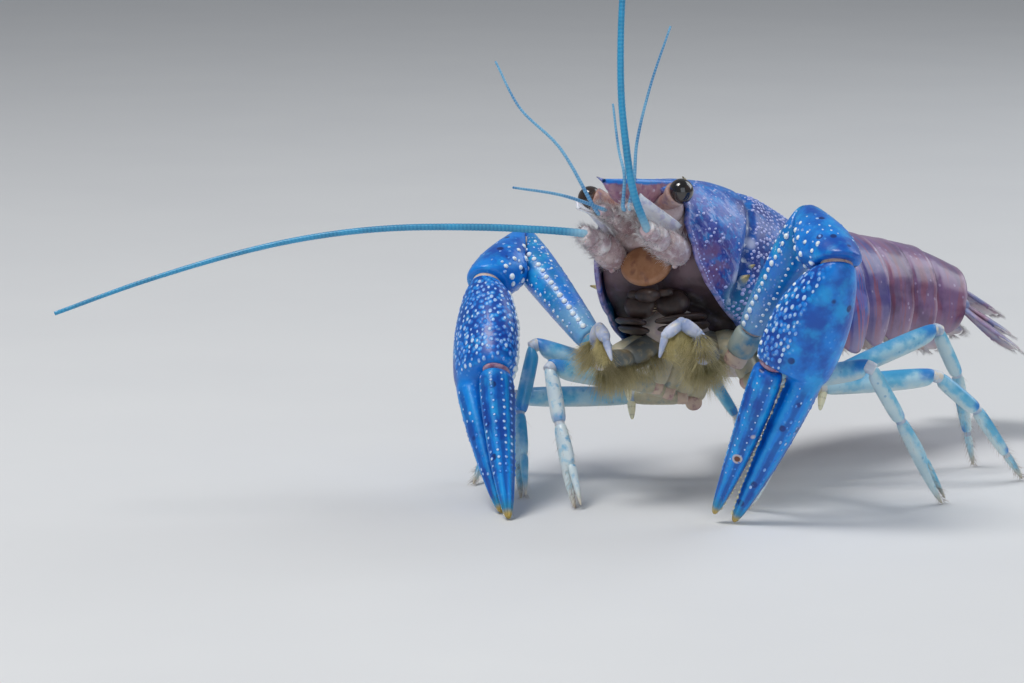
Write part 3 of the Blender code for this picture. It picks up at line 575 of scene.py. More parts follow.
def claw_finish():
    """Cobalt, blotched where it is smooth, tips yellow; painted highlights as cyan patches, on the fingers'
    ridges and on the scales' middles where it is scaly, with painted shade in the fingers' grooves and in the
    net between the scales.
    """
    f = Finish("claw_shell")
    fixed_look(f, 0.4)
    scaly = f.attribute("scaly")
    tip = f.attribute("tip")
    cloud = f.noise(230.0, 5.0)
    grain = f.noise(1300.0, 3.0)
    f.base(f.ramp(cloud, 0.36, 0.60), COBALT, AZURE)
    # Painted highlight: cyan patches laid by noise over the shell
    f.paint(f.ramp(f.noise(420.0, 3.0), 0.48, 0.72) * 0.6, CYAN_HIGHLIGHT)
    blot = f.ramp(f.cells(390.0), 0.19, 0.12) * (1.0 - scaly)
    f.paint(blot * 0.85, NIGHT)
    scales = f.cells(1500.0)
    # Painted highlight on the scales' raised middles, in patches, and painted shade in the dark net between
    # them
    highlight_patches = f.ramp(f.noise(600.0, 4.0, 0.65), 0.42, 0.58)
    f.paint(f.ramp(scales, 0.34, 0.12) * highlight_patches * scaly * 0.85, (0.42, 0.68, 0.95))
    f.paint(f.ramp(scales, 0.36, 0.62) * scaly * 0.8, (0.001, 0.03, 0.30))
    fleck = f.ramp(f.cells(1500.0), 0.28, 0.12) * f.ramp(cloud, 0.45, 0.6)
    f.paint(fleck * 0.4, (0.16, 0.50, 0.92))
    ridge = f.attribute("ridge")
    finger = f.ramp(tip, 0.0, 0.08)
    # Painted highlight on the fingers' ridges and painted shade in their grooves
    lit = f.ramp(ridge + (grain - 0.5) * 0.8, 0.6, 1.0) * finger
    f.paint(lit * 0.4, CYAN_HIGHLIGHT)
    shade = f.ramp(ridge + (f.noise(500.0, 3.0) - 0.5) * 0.8, 0.45, 0.05) * finger
    f.paint(shade * 0.6, (0.001, 0.04, 0.30))
    f.paint(f.ramp(tip, 0.86, 0.93) * 0.6, (0.03, 0.30, 0.42))
    f.paint(f.ramp(tip, 0.93, 0.98), (0.55, 0.40, 0.10))
    for place in SPOTS:
        f.paint(f.near(Vector(place), 0.62, 0.8), (0.55, 0.50, 0.55))
        f.paint(f.near(Vector(place), 0.42, 0.7), (0.16, 0.05, 0.03))
    normal = f.bump(f.ramp(scales, 0.55, 0.10) * (0.25 + scaly), 0.5, 0.10)
    normal = f.bump(f.noise(700.0, 4.0), 0.35, 0.12, normal)
    normal = f.bump(ridge * finger, 0.8, 0.18, normal)
    rough = 0.26 + grain * 0.22
    return f.wear(rough, 0.2 - fleck * 0.1, normal)


def arm_finish():
    """The upper arm: blue, flecked on its inner side and paler towards its root."""
    f = Finish("claw_arm")
    fixed_look(f, 0.5)
    inner = f.attribute("inner")
    along = f.attribute("along")
    cloud = f.noise(260.0, 4.0)
    f.base(f.ramp(cloud, 0.35, 0.65), (0.004, 0.20, 0.50), (0.004, 0.19, 0.72))
    f.paint(f.ramp(f.noise(500.0, 3.0), 0.48, 0.7) * 0.7, (0.02, 0.42, 0.78))
    pale = f.ramp(along + (cloud - 0.5) * 0.5, 0.42, 0.10)
    f.paint(pale * 0.4, (0.42, 0.70, 0.84))
    fleck = f.ramp(f.cells(1900.0), 0.3, 0.14) * f.ramp(inner, 0.5, 1.0)
    f.paint(fleck * 0.5, PEARL)
    f.paint(f.ramp(inner, 0.35, 0.0) * 0.5, (0.004, 0.14, 0.30))
    normal = f.bump(f.ramp(f.cells(1500.0), 0.1, 0.3), 0.2, 0.05)
    normal = f.bump(f.noise(650.0, 4.0), 0.3, 0.12, normal)
    rough = 0.26 + f.noise(1500.0, 2.0) * 0.2
    return f.wear(rough, 0.3 - fleck * 0.2, normal)


def leg_finish(name, whiteness):
    """Blue above and pale below, or nearly white all over where the whiteness is high."""
    f = Finish(name)
    fixed_look(f, 0.5, 0.15, 0.8, (0.5, 0.8, 1.0))
    along = f.attribute("along")
    back = f.attribute("inner")
    streaks = f.noise(380.0, 4.0)
    fine = f.noise(1100.0, 4.0)
    f.base(f.ramp(streaks, 0.36, 0.62), (0.46, 0.70, 0.80), (0.13, 0.50, 0.72))
    top = f.ramp(back + (streaks - 0.5) * 0.9, 0.55, 1.0)
    f.paint(top * 0.7, (0.015, 0.28, 0.58))
    belly = f.ramp(back + (fine - 0.5) * 0.5, 0.40, 0.1)
    f.paint(belly * 0.7, (0.70, 0.78, 0.76))
    ends = f.ramp(along + (fine - 0.5) * 0.2, 0.80, 0.92) * f.ramp(back, 0.3, 0.6)
    f.paint(f.ramp(fine, 0.3, 0.5) * whiteness, (0.80, 0.84, 0.82))
    f.paint(ends * (0.85 - 0.45 * whiteness), (0.008, 0.20, 0.60))
    dots = f.ramp(f.cells(800.0), 0.18, 0.08)
    f.paint(dots * (0.5 - 0.4 * whiteness), (0.03, 0.30, 0.55))
    f.paint(f.ramp(f.attribute("tip"), 0.75, 1.0), (0.66, 0.58, 0.45))
    normal = f.bump(fine, 0.3, 0.06)
    rough = 0.28 + f.noise(1300.0, 2.0) * 0.2
    return f.wear(rough, 0.25 + top * 0.1, normal)


def carapace_finish():
    """Deep blue, marbled and streaked on the head, with a broken white line in the groove; its top is painted
    brighter as highlight and the groove darker as shade.
    """
    f = Finish("carapace_shell")
    fixed_look(f, 0.42)
    x, s, n = f.trunk_place()
    across = f.math("ABSOLUTE", x)
    cloud = f.noise(240.0, 5.0)
    grain = f.noise(1500.0, 3.0)
    f.base(f.ramp(cloud, 0.36, 0.62), (0.004, 0.035, 0.28), (0.004, 0.12, 0.54))
    f.paint(f.ramp(f.noise(480.0, 4.0), 0.5, 0.66) * 0.5, (0.005, 0.26, 0.72))
    # Painted highlight: the shell's top is painted a brighter azure
    shell_top_highlight = f.ramp(n + (cloud - 0.5) * 3.0, 6.6, 9.2)
    f.paint(shell_top_highlight * 0.6, AZURE)
    front = f.ramp(s + (cloud - 0.5) * 2.0, -22.6, -24.6)
    marble = f.ramp(f.noise(620.0, 5.0, 0.7), 0.44, 0.56)
    f.paint(front * marble * 0.5, (0.10, 0.11, 0.46))
    ocean = f.ramp(f.noise(850.0, 4.0, 0.65), 0.50, 0.60)
    f.paint(front * ocean * 0.5, (0.01, 0.30, 0.74))
    slant = {0: s * 0.9 + n * 0.75, 1: n * 0.25 - s * 0.3, 2: x}
    streaks = f.noise(1.1, 4.0, 0.6, f.node("ShaderNodeCombineXYZ", None, slant)[0])
    streak = f.ramp(streaks, 0.55, 0.64) * f.ramp(n, -7.0, -4.0)
    f.paint(front * streak * 0.5, (0.42, 0.50, 0.86))
    pink = f.either_side((7.4, -28.0, -2.0), 4.6, 0.3)
    f.paint(pink * f.ramp(f.noise(700.0, 3.0), 0.36, 0.56) * 0.7, (0.22, 0.09, 0.17))
    teal = f.either_side((8.6, -23.6, -5.0), 3.0)
    f.paint(teal * 0.85, (0.008, 0.20, 0.36))
    rear = f.ramp(s, -19.0, -15.0)
    f.paint(rear * f.ramp(n, -3.0, -7.5) * 0.7, (0.24, 0.26, 0.56))
    fleck = f.ramp(f.cells(1750.0), 0.36, 0.14) * f.ramp(f.noise(200.0, 2.0), 0.36, 0.55)
    f.paint(fleck * f.ramp(across, 1.5, 4.5) * 0.45, (0.34, 0.38, 0.80))
    groove = f.attribute("groove")
    # Painted shade: the cervical groove is painted darker
    f.paint(groove * 0.7, (0.004, 0.06, 0.24))
    dash = f.ramp(f.noise(800.0, 3.0), 0.52, 0.62)
    f.paint(groove * dash * 0.8, PEARL)
    pale = f.either_side((9.0, -22.1, 2.0), 1.1, 0.3) + f.either_side((8.6, -24.3, -2.6), 1.0, 0.3)
    f.paint(pale * 0.75, (0.62, 0.66, 0.86))
    edge = f.attribute("edge")
    f.paint(edge * f.ramp(grain, 0.35, 0.6) * 0.5, (0.42, 0.36, 0.60))
    normal = f.bump(f.ramp(f.cells(1350.0), 0.08, 0.3), 0.3, 0.06)
    normal = f.bump(f.noise(600.0, 5.0), 0.35, 0.14, normal)
    rough = 0.27 + grain * 0.2
    return f.wear(rough, 0.2 - fleck * 0.1, normal)


def rostrum_finish():
    """Blue above, rose on the flanks, dusted with pale specks."""
    f = Finish("rostrum_shell")
    fixed_look(f, 0.5, 0.1)
    side = f.attribute("inner")
    cloud = f.noise(500.0, 4.0)
    f.base(f.ramp(cloud, 0.35, 0.62), (0.01, 0.11, 0.58), (0.01, 0.26, 0.78))
    flank = f.ramp(side + (cloud - 0.5) * 0.5, 0.62, 0.42)
    rose = f.mix(f.ramp(f.noise(900.0, 3.0), 0.4, 0.6), (0.34, 0.15, 0.26), (0.48, 0.28, 0.34))
    f.paint(flank, rose)
    dust = f.ramp(f.cells(1300.0), 0.32, 0.14) * f.ramp(f.noise(700.0, 2.0), 0.42, 0.6)
    f.paint(dust * 0.8, (0.74, 0.70, 0.84))
    normal = f.bump(f.noise(900.0, 4.0), 0.35, 0.1)
    rough = 0.28 + f.noise(1600.0, 2.0) * 0.2
    return f.wear(rough, 0.3 - dust * 0.2, normal)


def abdomen_finish():
    """Blue with wine-red bands in front, maroon towards the tail, each ring's rim paler, and the rings' tops
    painted lighter as highlight.
    """
    f = Finish("abdomen_shell")
    fixed_look(f, 0.5, 0.12, 1.0, (1.0, 0.5, 0.6))
    along = f.attribute("along")
    height = f.attribute("height")
    rank = f.attribute("rank")
    cloud = f.noise(260.0, 4.0)
    place = f.node("ShaderNodeCombineXYZ", None, {0: along * 5.0, 1: rank * 30.0, 2: height * 1.5})[0]
    band = f.noise(1.0, 3.0, 0.5, place)
    f.base(f.ramp(cloud, 0.35, 0.62), (0.03, 0.04, 0.30), (0.01, 0.12, 0.50))
    f.paint(f.ramp(band, 0.50, 0.56) * 0.85, (0.32, 0.03, 0.10))
    f.paint(f.ramp(f.noise(330.0, 3.0), 0.5, 0.64) * 0.5, (0.24, 0.20, 0.56))
    back = f.ramp(rank + (cloud - 0.5) * 0.3, 0.25, 0.5)
    maroon = f.mix(f.ramp(cloud, 0.4, 0.6), (0.12, 0.045, 0.09), (0.26, 0.11, 0.18))
    f.paint(back * 0.8, maroon)
    # Painted highlight: the rings' tops are painted lighter, blue in front and pink towards the tail
    ring_top_highlight = f.ramp(height + (f.noise(300.0, 3.0) - 0.5) * 0.4, 0.55, 0.95)
    f.paint(ring_top_highlight * (1.0 - back * 0.4) * 0.6, (0.04, 0.13, 0.52))
    f.paint(ring_top_highlight * back * 0.5, (0.46, 0.28, 0.38))
    f.paint(f.ramp(height, 0.26, 0.0) * 0.6, (0.42, 0.30, 0.40))
    rim = f.ramp(along + (cloud - 0.5) * 0.1, 0.86, 0.99)
    f.paint(rim * f.ramp(cloud, 0.35, 0.6) * 0.7, (0.46, 0.36, 0.48))
    fleck = f.ramp(f.cells(900.0), 0.22, 0.1) * f.ramp(cloud, 0.46, 0.56)
    f.paint(fleck * 0.6, (0.50, 0.42, 0.60))
    normal = f.bump(f.noise(700.0, 4.0), 0.25, 0.1)
    rough = 0.27 + cloud * 0.15
    return f.wear(rough, 0.3 - fleck * 0.15, normal)


def fan_finish():
    """Plum and grey-blue, paling towards the blades' ends."""
    f = Finish("tail_fan_shell")
    fixed_look(f, 0.5, 0.2, 1.0, (1.0, 0.6, 0.7))
    along = f.attribute("along")
    cloud = f.noise(330.0, 4.0)
    f.base(f.ramp(cloud, 0.36, 0.62), (0.34, 0.20, 0.30), (0.24, 0.28, 0.50))
    f.paint(f.ramp(f.noise(700.0, 3.0), 0.5, 0.65) * 0.5, (0.55, 0.40, 0.48))
    f.paint(f.ramp(along, 0.62, 1.0) * 0.85, (0.72, 0.66, 0.66))
    f.paint(f.ramp(f.cells(700.0), 0.2, 0.1) * 0.5, PLUM)
    normal = f.bump(f.noise(800.0, 4.0), 0.3, 0.08)
    return f.wear(0.3 + cloud * 0.15, 0.2 + cloud * 0.1, normal)


def pearl_finish(name, root, tip):
    """Tubercles, spines and granules: the shell's colour at the root, pale at the tip."""
    f = Finish(name)
    fixed_look(f, 0.5, 0.1, 0.3, (1.0, 0.9, 0.9))
    height = f.attribute("height")
    cloud = f.noise(900.0, 2.0)
    f.base(f.ramp(height + (cloud - 0.5) * 0.6, 0.1, 0.55), root, tip)
    normal = f.bump(f.noise(2500.0, 2.0), 0.2, 0.03)
    return f.wear(0.25 + cloud * 0.2, 0.2 + cloud * 0.2, normal)


def skin_finish(name, first, second, third, scale, rough=0.42, soft=0.25):
    """Soft or thin skin in three mingled colours, finely wrinkled."""
    f = Finish(name)
    fixed_look(f, 0.4, soft, 0.9)
    cloud = f.noise(scale, 5.0)
    f.base(f.ramp(cloud, 0.36, 0.6), first, second)
    f.paint(f.ramp(f.noise(scale * 2.2, 3.0), 0.5, 0.7) * 0.7, third)
    normal = f.bump(f.noise(scale * 1.6, 5.0, 0.65), 0.32, 0.12)
    return f.wear(rough + cloud * 0.15, 0.15 + cloud * 0.1, normal)


def feeler_finish(name, first, second, third):
    """Ringed whips: each ring is paler at its far edge."""
    f = Finish(name)
    fixed_look(f, 0.5)
    ring = f.attribute("ring")
    along = f.attribute("along")
    cloud = f.noise(300.0, 3.0)
    f.base(f.ramp(cloud, 0.36, 0.62), first, second)
    f.paint(ring * 0.4, third)
    f.paint(f.ramp(along, 0.06, 0.0) * 0.6, ICE)
    normal = f.bump(f.noise(2600.0, 2.0), 0.2, 0.03)
    return f.wear(0.3 + ring * 0.15, 0.2 + cloud * 0.2, normal)


def scale_finish():
    """Low scaly bumps: some blue like the shell, some nearly white."""
    f = Finish("shell_scale")
    fixed_look(f, 0.5)
    height = f.attribute("height")
    cloud = f.noise(420.0, 4.0)
    pale = f.mix(f.ramp(cloud, 0.40, 0.56), (0.02, 0.26, 0.80), (0.52, 0.72, 0.95))
    raised = f.ramp(height + (f.noise(1500.0, 2.0) - 0.5) * 0.6, 0.35, 0.85)
    f.base(raised, (0.004, 0.12, 0.62), pale)
    normal = f.bump(f.noise(1800.0, 3.0), 0.25, 0.04)
    return f.wear(0.24 + cloud * 0.2, 0.3 + cloud * 0.1, normal)


def lining_finish():
    """The walls behind the shell's front edge: grey-rose above, near-black as painted shade in the mouth's
    hollow.
    """
    f = Finish("mouth_lining")
    fixed_look(f, 0.4, 0.1)
    n = f.trunk_place()[2]
    cloud = f.noise(420.0, 5.0)
    # Painted shade: near-black where the mouth's hollow lies in shadow
    f.base(f.ramp(cloud, 0.36, 0.62), (0.016, 0.009, 0.011), (0.045, 0.026, 0.028))
    f.paint(f.ramp(f.noise(900.0, 3.0), 0.54, 0.7) * 0.5, (0.06, 0.05, 0.10))
    f.paint(f.ramp(n + (cloud - 0.5) * 4.0, -6.5, 1.5), (0.20, 0.12, 0.15))
    normal = f.bump(f.noise(800.0, 5.0, 0.65), 0.5, 0.15)
    return f.wear(0.4 + cloud * 0.2, 0.2 + cloud * 0.1, normal)


def eye_finish():
    """Nearly black and glossy, with a brown hem where the stalk's skin meets it."""
    f = Finish("eye_glass")
    fixed_look(f, 0.6)
    f.shader.inputs["Coat Roughness"].default_value = 0.03
    cloud = f.noise(900.0, 3.0)
    lift = f.attribute("along")
    f.base(f.ramp(cloud, 0.4, 0.65), (0.004, 0.003, 0.004), (0.03, 0.014, 0.01))
    f.paint(f.ramp(lift, 0.22, 0.05) * 0.9, (0.20, 0.10, 0.06))
    normal = f.bump(f.cells(9000.0), 0.12, 0.01)
    return f.wear(0.09 + cloud * 0.06, 0.7 + cloud * 0.2, normal)


def hair_finish(name, root, tip):
    """Hair that pales from its root to its tip, with darker locks among it."""
    f = Finish(name)
    fixed_look(f, 0.35, 0.15, 0.4, (1.0, 0.8, 0.6))
    height = f.attribute("height")
    cloud = f.noise(500.0, 3.0)
    f.base(f.ramp(height, 0.1, 0.9), root, tip)
    f.paint(f.ramp(cloud, 0.45, 0.68) * 0.3, BROWN)
    normal = f.bump(cloud, 0.1, 0.02)
    return f.wear(0.45 + cloud * 0.15, normal=normal)


# Bumps, spines and teeth: colour at the root, colour at the tip
PEARLS = {
    "shell_granule": ((0.02, 0.10, 0.52), (0.44, 0.48, 0.86)),
    "claw_tubercle": ((0.02, 0.25, 0.80), (0.84, 0.93, 0.97)),
    "yellow_spine": ((0.30, 0.45, 0.60), (0.86, 0.70, 0.32)),
    "finger_tooth": ((0.46, 0.42, 0.24), (0.92, 0.86, 0.60)),
    "jaw_tooth": ((0.10, 0.06, 0.05), (0.34, 0.26, 0.18)),
}
# Skins: three mingled colours, how fine they mingle, how rough and how soft
SKINS = {
    "tail_root": ((0.24, 0.12, 0.20), (0.34, 0.22, 0.32), (0.46, 0.36, 0.44), 360.0, 0.34, 0.15),
    "limb_root": ((0.46, 0.42, 0.28), (0.60, 0.55, 0.40), (0.24, 0.34, 0.38), 420.0, 0.34, 0.15),
    "arm_root": ((0.08, 0.28, 0.44), (0.36, 0.42, 0.38), (0.56, 0.50, 0.36), 330.0, 0.32, 0.1),
    "joint_membrane": ((0.62, 0.42, 0.38), (0.72, 0.56, 0.44), (0.36, 0.16, 0.20), 500.0),
    "leg_membrane": ((0.30, 0.42, 0.60), (0.62, 0.66, 0.72), (0.80, 0.68, 0.50), 500.0),
    "face_skin": ((0.42, 0.28, 0.30), (0.58, 0.46, 0.46), (0.80, 0.74, 0.77), 560.0),
    "face_plate": ((0.84, 0.77, 0.77), (0.52, 0.38, 0.42), (0.95, 0.93, 0.94), 520.0),
    "scale_plate": ((0.90, 0.90, 0.96), (0.97, 0.97, 0.99), (0.62, 0.62, 0.84), 420.0, 0.34, 0.15),
    "finger_hinge": ((0.30, 0.10, 0.18), (0.52, 0.34, 0.42), (0.12, 0.06, 0.20), 700.0),
    "epistome": ((0.26, 0.11, 0.05), (0.38, 0.18, 0.09), (0.16, 0.06, 0.04), 420.0, 0.36, 0.1),
    # Near-black for the gland slits: painted shade of their openings
    "mouth_dark": ((0.035, 0.018, 0.022), (0.07, 0.035, 0.04), (0.12, 0.07, 0.06), 400.0),
    # Mouth plates: their own dark brown, darkened nearly to black as painted shade under the head
    "jaw_plate": ((0.022, 0.012, 0.011), (0.055, 0.03, 0.024), (0.018, 0.014, 0.02), 500.0),
    "jaw_pale": ((0.28, 0.23, 0.14), (0.18, 0.20, 0.20), (0.46, 0.40, 0.26), 480.0),
    "foot_jaw": ((0.30, 0.38, 0.60), (0.58, 0.62, 0.76), (0.66, 0.62, 0.48), 420.0),
    "belly_skin": ((0.56, 0.46, 0.44), (0.70, 0.62, 0.58), (0.42, 0.34, 0.42), 320.0),
    "eye_stalk": ((0.40, 0.22, 0.19), (0.55, 0.40, 0.36), (0.26, 0.20, 0.34), 700.0),
}
# Ringed feelers: two mingled colours, and the rings' paler edge
RINGS = {
    "antenna_rings": ((0.008, 0.20, 0.42), (0.01, 0.28, 0.56), (0.10, 0.46, 0.66)),
    "antennule_rings": ((0.03, 0.22, 0.50), (0.12, 0.40, 0.66), (0.42, 0.66, 0.80)),
}
# Hair: colour at the root, colour at the tip
HAIRS = {
    "olive_hair": ((0.38, 0.33, 0.13), (0.66, 0.56, 0.28)),
    "straw_hair": ((0.52, 0.42, 0.16), (0.80, 0.70, 0.34)),
    "pale_hair": ((0.66, 0.62, 0.64), (0.93, 0.92, 0.92)),
    "brown_hair": ((0.22, 0.15, 0.12), (0.45, 0.36, 0.28)),
}
FINISHES = {
    "claw": claw_finish(),
    "arm": arm_finish(),
    "leg": leg_finish("leg_shell", 0.0),
    "leg_pale": leg_finish("nipping_leg_shell", 0.75),
    "carapace": carapace_finish(),
    "rostrum": rostrum_finish(),
    "abdomen": abdomen_finish(),
    "fan": fan_finish(),
    "scale": scale_finish(),
    "lining": lining_finish(),
    "eye": eye_finish(),
}
FINISHES |= {name: pearl_finish(name, *look) for name, look in PEARLS.items()}
FINISHES |= {name: skin_finish(name, *look) for name, look in SKINS.items()}
FINISHES |= {name: feeler_finish(name, *look) for name, look in RINGS.items()}
FINISHES |= {name: hair_finish(name, *look) for name, look in HAIRS.items()}


def clear_choice():
    if bpy.context.object and bpy.context.object.mode != "OBJECT":
        bpy.ops.object.mode_set(mode="OBJECT")
    bpy.ops.object.select_all(action="DESELECT")


def choose(obj):
    """Makes a piece the only one that the next operator works on."""
    clear_choice()
    obj.select_set(True)
    bpy.context.view_layer.objects.active = obj


def smooth_mesh(obj, levels):
    """Subdivides a piece and applies it."""
    choose(obj)
    subdivision = obj.modifiers.new("Round", "SUBSURF")
    subdivision.levels = levels
    subdivision.render_levels = levels
    bpy.ops.object.modifier_apply(modifier=subdivision.name)
    obj.data.shade_smooth()


def close_seams(obj, threshold, holes=False):
    """Joins a rolled sheet's meeting edges, and closes its two ends where they are open."""
    choose(obj)
    bpy.ops.object.mode_set(mode="EDIT")
    bpy.ops.mesh.select_all(action="SELECT")
    bpy.ops.mesh.remove_doubles(threshold=threshold)
    if holes:
        bpy.ops.mesh.select_all(action="DESELECT")
        bpy.ops.mesh.select_non_manifold()
        bpy.ops.mesh.fill_holes(sides=0)
        bpy.ops.mesh.select_all(action="SELECT")
    bpy.ops.mesh.normals_make_consistent(inside=False)
    bpy.ops.object.mode_set(mode="OBJECT")
    obj.data.shade_smooth()


def new_object(name, data):
    obj = bpy.data.objects.new(name, data)
    bpy.context.scene.collection.objects.link(obj)
    return obj


def mesh_object(name, points, faces):
    """A smooth-shaded piece of many small things, from their corners and faces."""
    mesh = bpy.data.meshes.new(name)
    mesh.from_pydata(points.tolist(), [], faces)
    mesh.shade_smooth()
    return new_object(name, mesh)


def set_attribute(obj, name, values):
    attribute = obj.data.attributes.new(name, "FLOAT", "POINT")
    attribute.data.foreach_set("value", np.asarray(values, np.float32))


def points_of(obj):
    points = np.empty(len(obj.data.vertices) * 3)
    obj.data.vertices.foreach_get("co", points)
    return points.reshape(-1, 3)


def settle(obj, finish, replaces=()):
    """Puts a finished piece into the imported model's frame, on its one body."""
    obj.data.transform(INTO_FRAME)
    obj.data.materials.clear()
    obj.data.materials.append(FINISHES[finish])
    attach(obj, "root")
    if replaces:
        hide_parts(*replaces)
    return obj


def article(name, start, end, inner, stations, sides=20, planes=(None, None), levels=2, reach=None):
    """One hard tube of a limb, modelled upright and then laid from start to end.

    A station is (share of the length, half width, half depth, shift inwards, shift across).
    The planes are the joints' own, and the tube's two ends are slanted to meet them.
    """
    clear_choice()
    way = end - start
    length = way.length
    way = way / length
    across = square_to(inner, way)
    up = way.cross(across)
    stations = [(*station, 0.0, 0.0)[:5] for station in stations]
    share, wide, deep, shift_x, shift_y = stations[0]
    bpy.ops.mesh.primitive_circle_add(vertices=sides, radius=1.0, fill_type="NGON")
    obj = bpy.context.object
    obj.name = name
    bpy.ops.object.mode_set(mode="EDIT")
    bpy.ops.mesh.select_all(action="SELECT")
    bpy.ops.transform.resize(value=(wide, deep, 1.0))
    bpy.ops.transform.translate(value=(shift_x, shift_y, share * length))
    for before, after in zip(stations, stations[1:]):
        step = (after[3] - before[3], after[4] - before[4], (after[0] - before[0]) * length)
        bpy.ops.mesh.extrude_region_move(TRANSFORM_OT_translate={"value": step})
        centre = (after[3], after[4], after[0] * length)
        bpy.ops.transform.resize(
            value=(after[1] / before[1], after[2] / before[2], 1.0), center_override=centre
        )
    bpy.ops.mesh.select_all(action="SELECT")
    bpy.ops.mesh.normals_make_consistent(inside=False)
    bpy.ops.object.mode_set(mode="OBJECT")
    for plane, at_end in zip(planes, (False, True)):
        if plane is None:
            continue
        slope_x = -plane.dot(across) / plane.dot(way)
        slope_y = -plane.dot(up) / plane.dot(way)
        reach_mm = reach or max(wide, deep, stations[-1][1]) * 2.2
        for vertex in obj.data.vertices:
            gap = length - vertex.co.z if at_end else vertex.co.z
            share = max(0.0, 1.0 - gap / reach_mm)
            vertex.co.z += share * (slope_x * vertex.co.x + slope_y * vertex.co.y)
    smooth_mesh(obj, levels)
    local = points_of(obj)
    widest = np.abs(local[:, 0]).max()
    centres = [np.interp(local[:, 2] / length, *zip(*[(s[0], s[k]) for s in stations])) for k in (3, 4)]
    turn = np.arctan2(local[:, 1] - centres[1], local[:, 0] - centres[0])
    set_attribute(obj, "along", np.clip(local[:, 2] / length, 0, 1))
    set_attribute(obj, "inner", np.clip(0.5 + 0.5 * local[:, 0] / widest, 0, 1))
    set_attribute(obj, "ridge", 0.5 + 0.5 * np.cos(6 * turn))
    set_attribute(obj, "turn", turn)
    laid = Matrix((across, up, way)).transposed().to_4x4()
    laid.translation = start
    obj.data.transform(laid)
    return obj


def mark_tip(obj, start, end):
    """Stores how far towards its pointed end each point of a piece lies."""
    way = end - start
    points = points_of(obj) - np.array(start)
    set_attribute(obj, "tip", np.clip(points @ np.array(way) / way.length_squared, 0, 1))


class Spacing:
    """Keeps places no closer to each other than they should be."""

    def __init__(self, apart):
        self.apart = apart
        self.taken = {}

    def free(self, point):
        cell = tuple(math.floor(value / self.apart) for value in point)
        for x in (-1, 0, 1):
            for y in (-1, 0, 1):
                for z in (-1, 0, 1):
                    for other in self.taken.get((cell[0] + x, cell[1] + y, cell[2] + z), ()):
                        if (other - point).length < self.apart:
                            return False
        self.taken.setdefault(cell, []).append(Vector(point))
        return True


class Surface:
    """A finished piece to set small things on."""

    def __init__(self, obj):
        vertices = [v.co for v in obj.data.vertices]
        self.tree = BVHTree.FromPolygons(vertices, [tuple(p.vertices) for p in obj.data.polygons])

    def drop(self, origin, way):
        point, normal, _, _ = self.tree.ray_cast(origin, way, SEARCH)
        if point is None:
            return None
        return point, (normal if normal.dot(way) < 0 else -normal)

    def nearest(self, point):
        found, normal, _, _ = self.tree.find_nearest(point)
        return found, normal


class Limb:
    """A finished tube's surface, read by share of its length and angle round its axis.

    Angles are radians, from the tube's inner side.
    """

    def __init__(self, surface, start, end, inner, draw):
        self.surface = surface
        self.start = start
        self.end = end
        self.way = (end - start).normalized()
        self.across = square_to(inner, self.way)
        self.up = self.way.cross(self.across)
        self.draw = draw

    def spot(self, share, angle):
        out = self.across * math.cos(angle) + self.up * math.sin(angle)
        return self.surface.drop(self.start.lerp(self.end, share) + out * OUTSIDE, -out)

    def row(self, shares, angle, size, high, lean, wobble):
        """Spots for one row of tubercles."""
        spots = []
        for share in shares:
            hit = self.spot(share, angle + self.draw.uniform(-wobble, wobble))
            if hit:
                point, normal = hit
                grown = size * self.draw.uniform(0.8, 1.2)
                root = point - normal * grown * 0.15
                spots.append((root, normal, grown, grown * high, self.way * lean * grown, 1.0))
        return spots

    def spread(self, count, shares, angles, sizes, apart):
        """Spots for low scaly bumps, none closer than they should be."""
        spots = []
        spacing = Spacing(apart)
        for _ in range(count):
            share = self.draw.uniform(*shares)
            hit = self.spot(share, self.draw.uniform(*angles))
            if not hit or not spacing.free(hit[0]):
                continue
            point, normal = hit
            size = self.draw.uniform(*sizes)
            root = point - normal * size * 0.12
            spots.append((root, normal, size, size * 0.45, self.way * 0.3 * size, 1.45))
        return spots


def make_stamp(kind):
    """The shape that small things repeat: its corners and faces, with its height along z."""
    clear_choice()
    if kind == "dome":
        bpy.ops.mesh.primitive_uv_sphere_add(segments=8, ring_count=6, radius=1.0)
    else:
        bpy.ops.mesh.primitive_cone_add(vertices=8, radius1=1.0, radius2=0.12, depth=2.0)
    obj = bpy.context.object
    bpy.ops.object.mode_set(mode="EDIT")
    bpy.ops.mesh.select_all(action="SELECT")
    if kind == "dome":
        bpy.ops.mesh.bisect(plane_co=(0, 0, -0.3), plane_no=(0, 0, 1), clear_inner=True, use_fill=True)
    else:
        bpy.ops.transform.translate(value=(0, 0, 0.7))
        bpy.ops.mesh.bevel(offset=0.1, segments=1, affect="EDGES")
    bpy.ops.mesh.select_all(action="SELECT")
    bpy.ops.mesh.normals_make_consistent(inside=False)
    bpy.ops.object.mode_set(mode="OBJECT")
    points = points_of(obj)
    faces = [tuple(p.vertices) for p in obj.data.polygons]
    bpy.data.objects.remove(obj)
    return points, faces


STAMPS = {"dome": make_stamp("dome"), "cone": make_stamp("cone")}


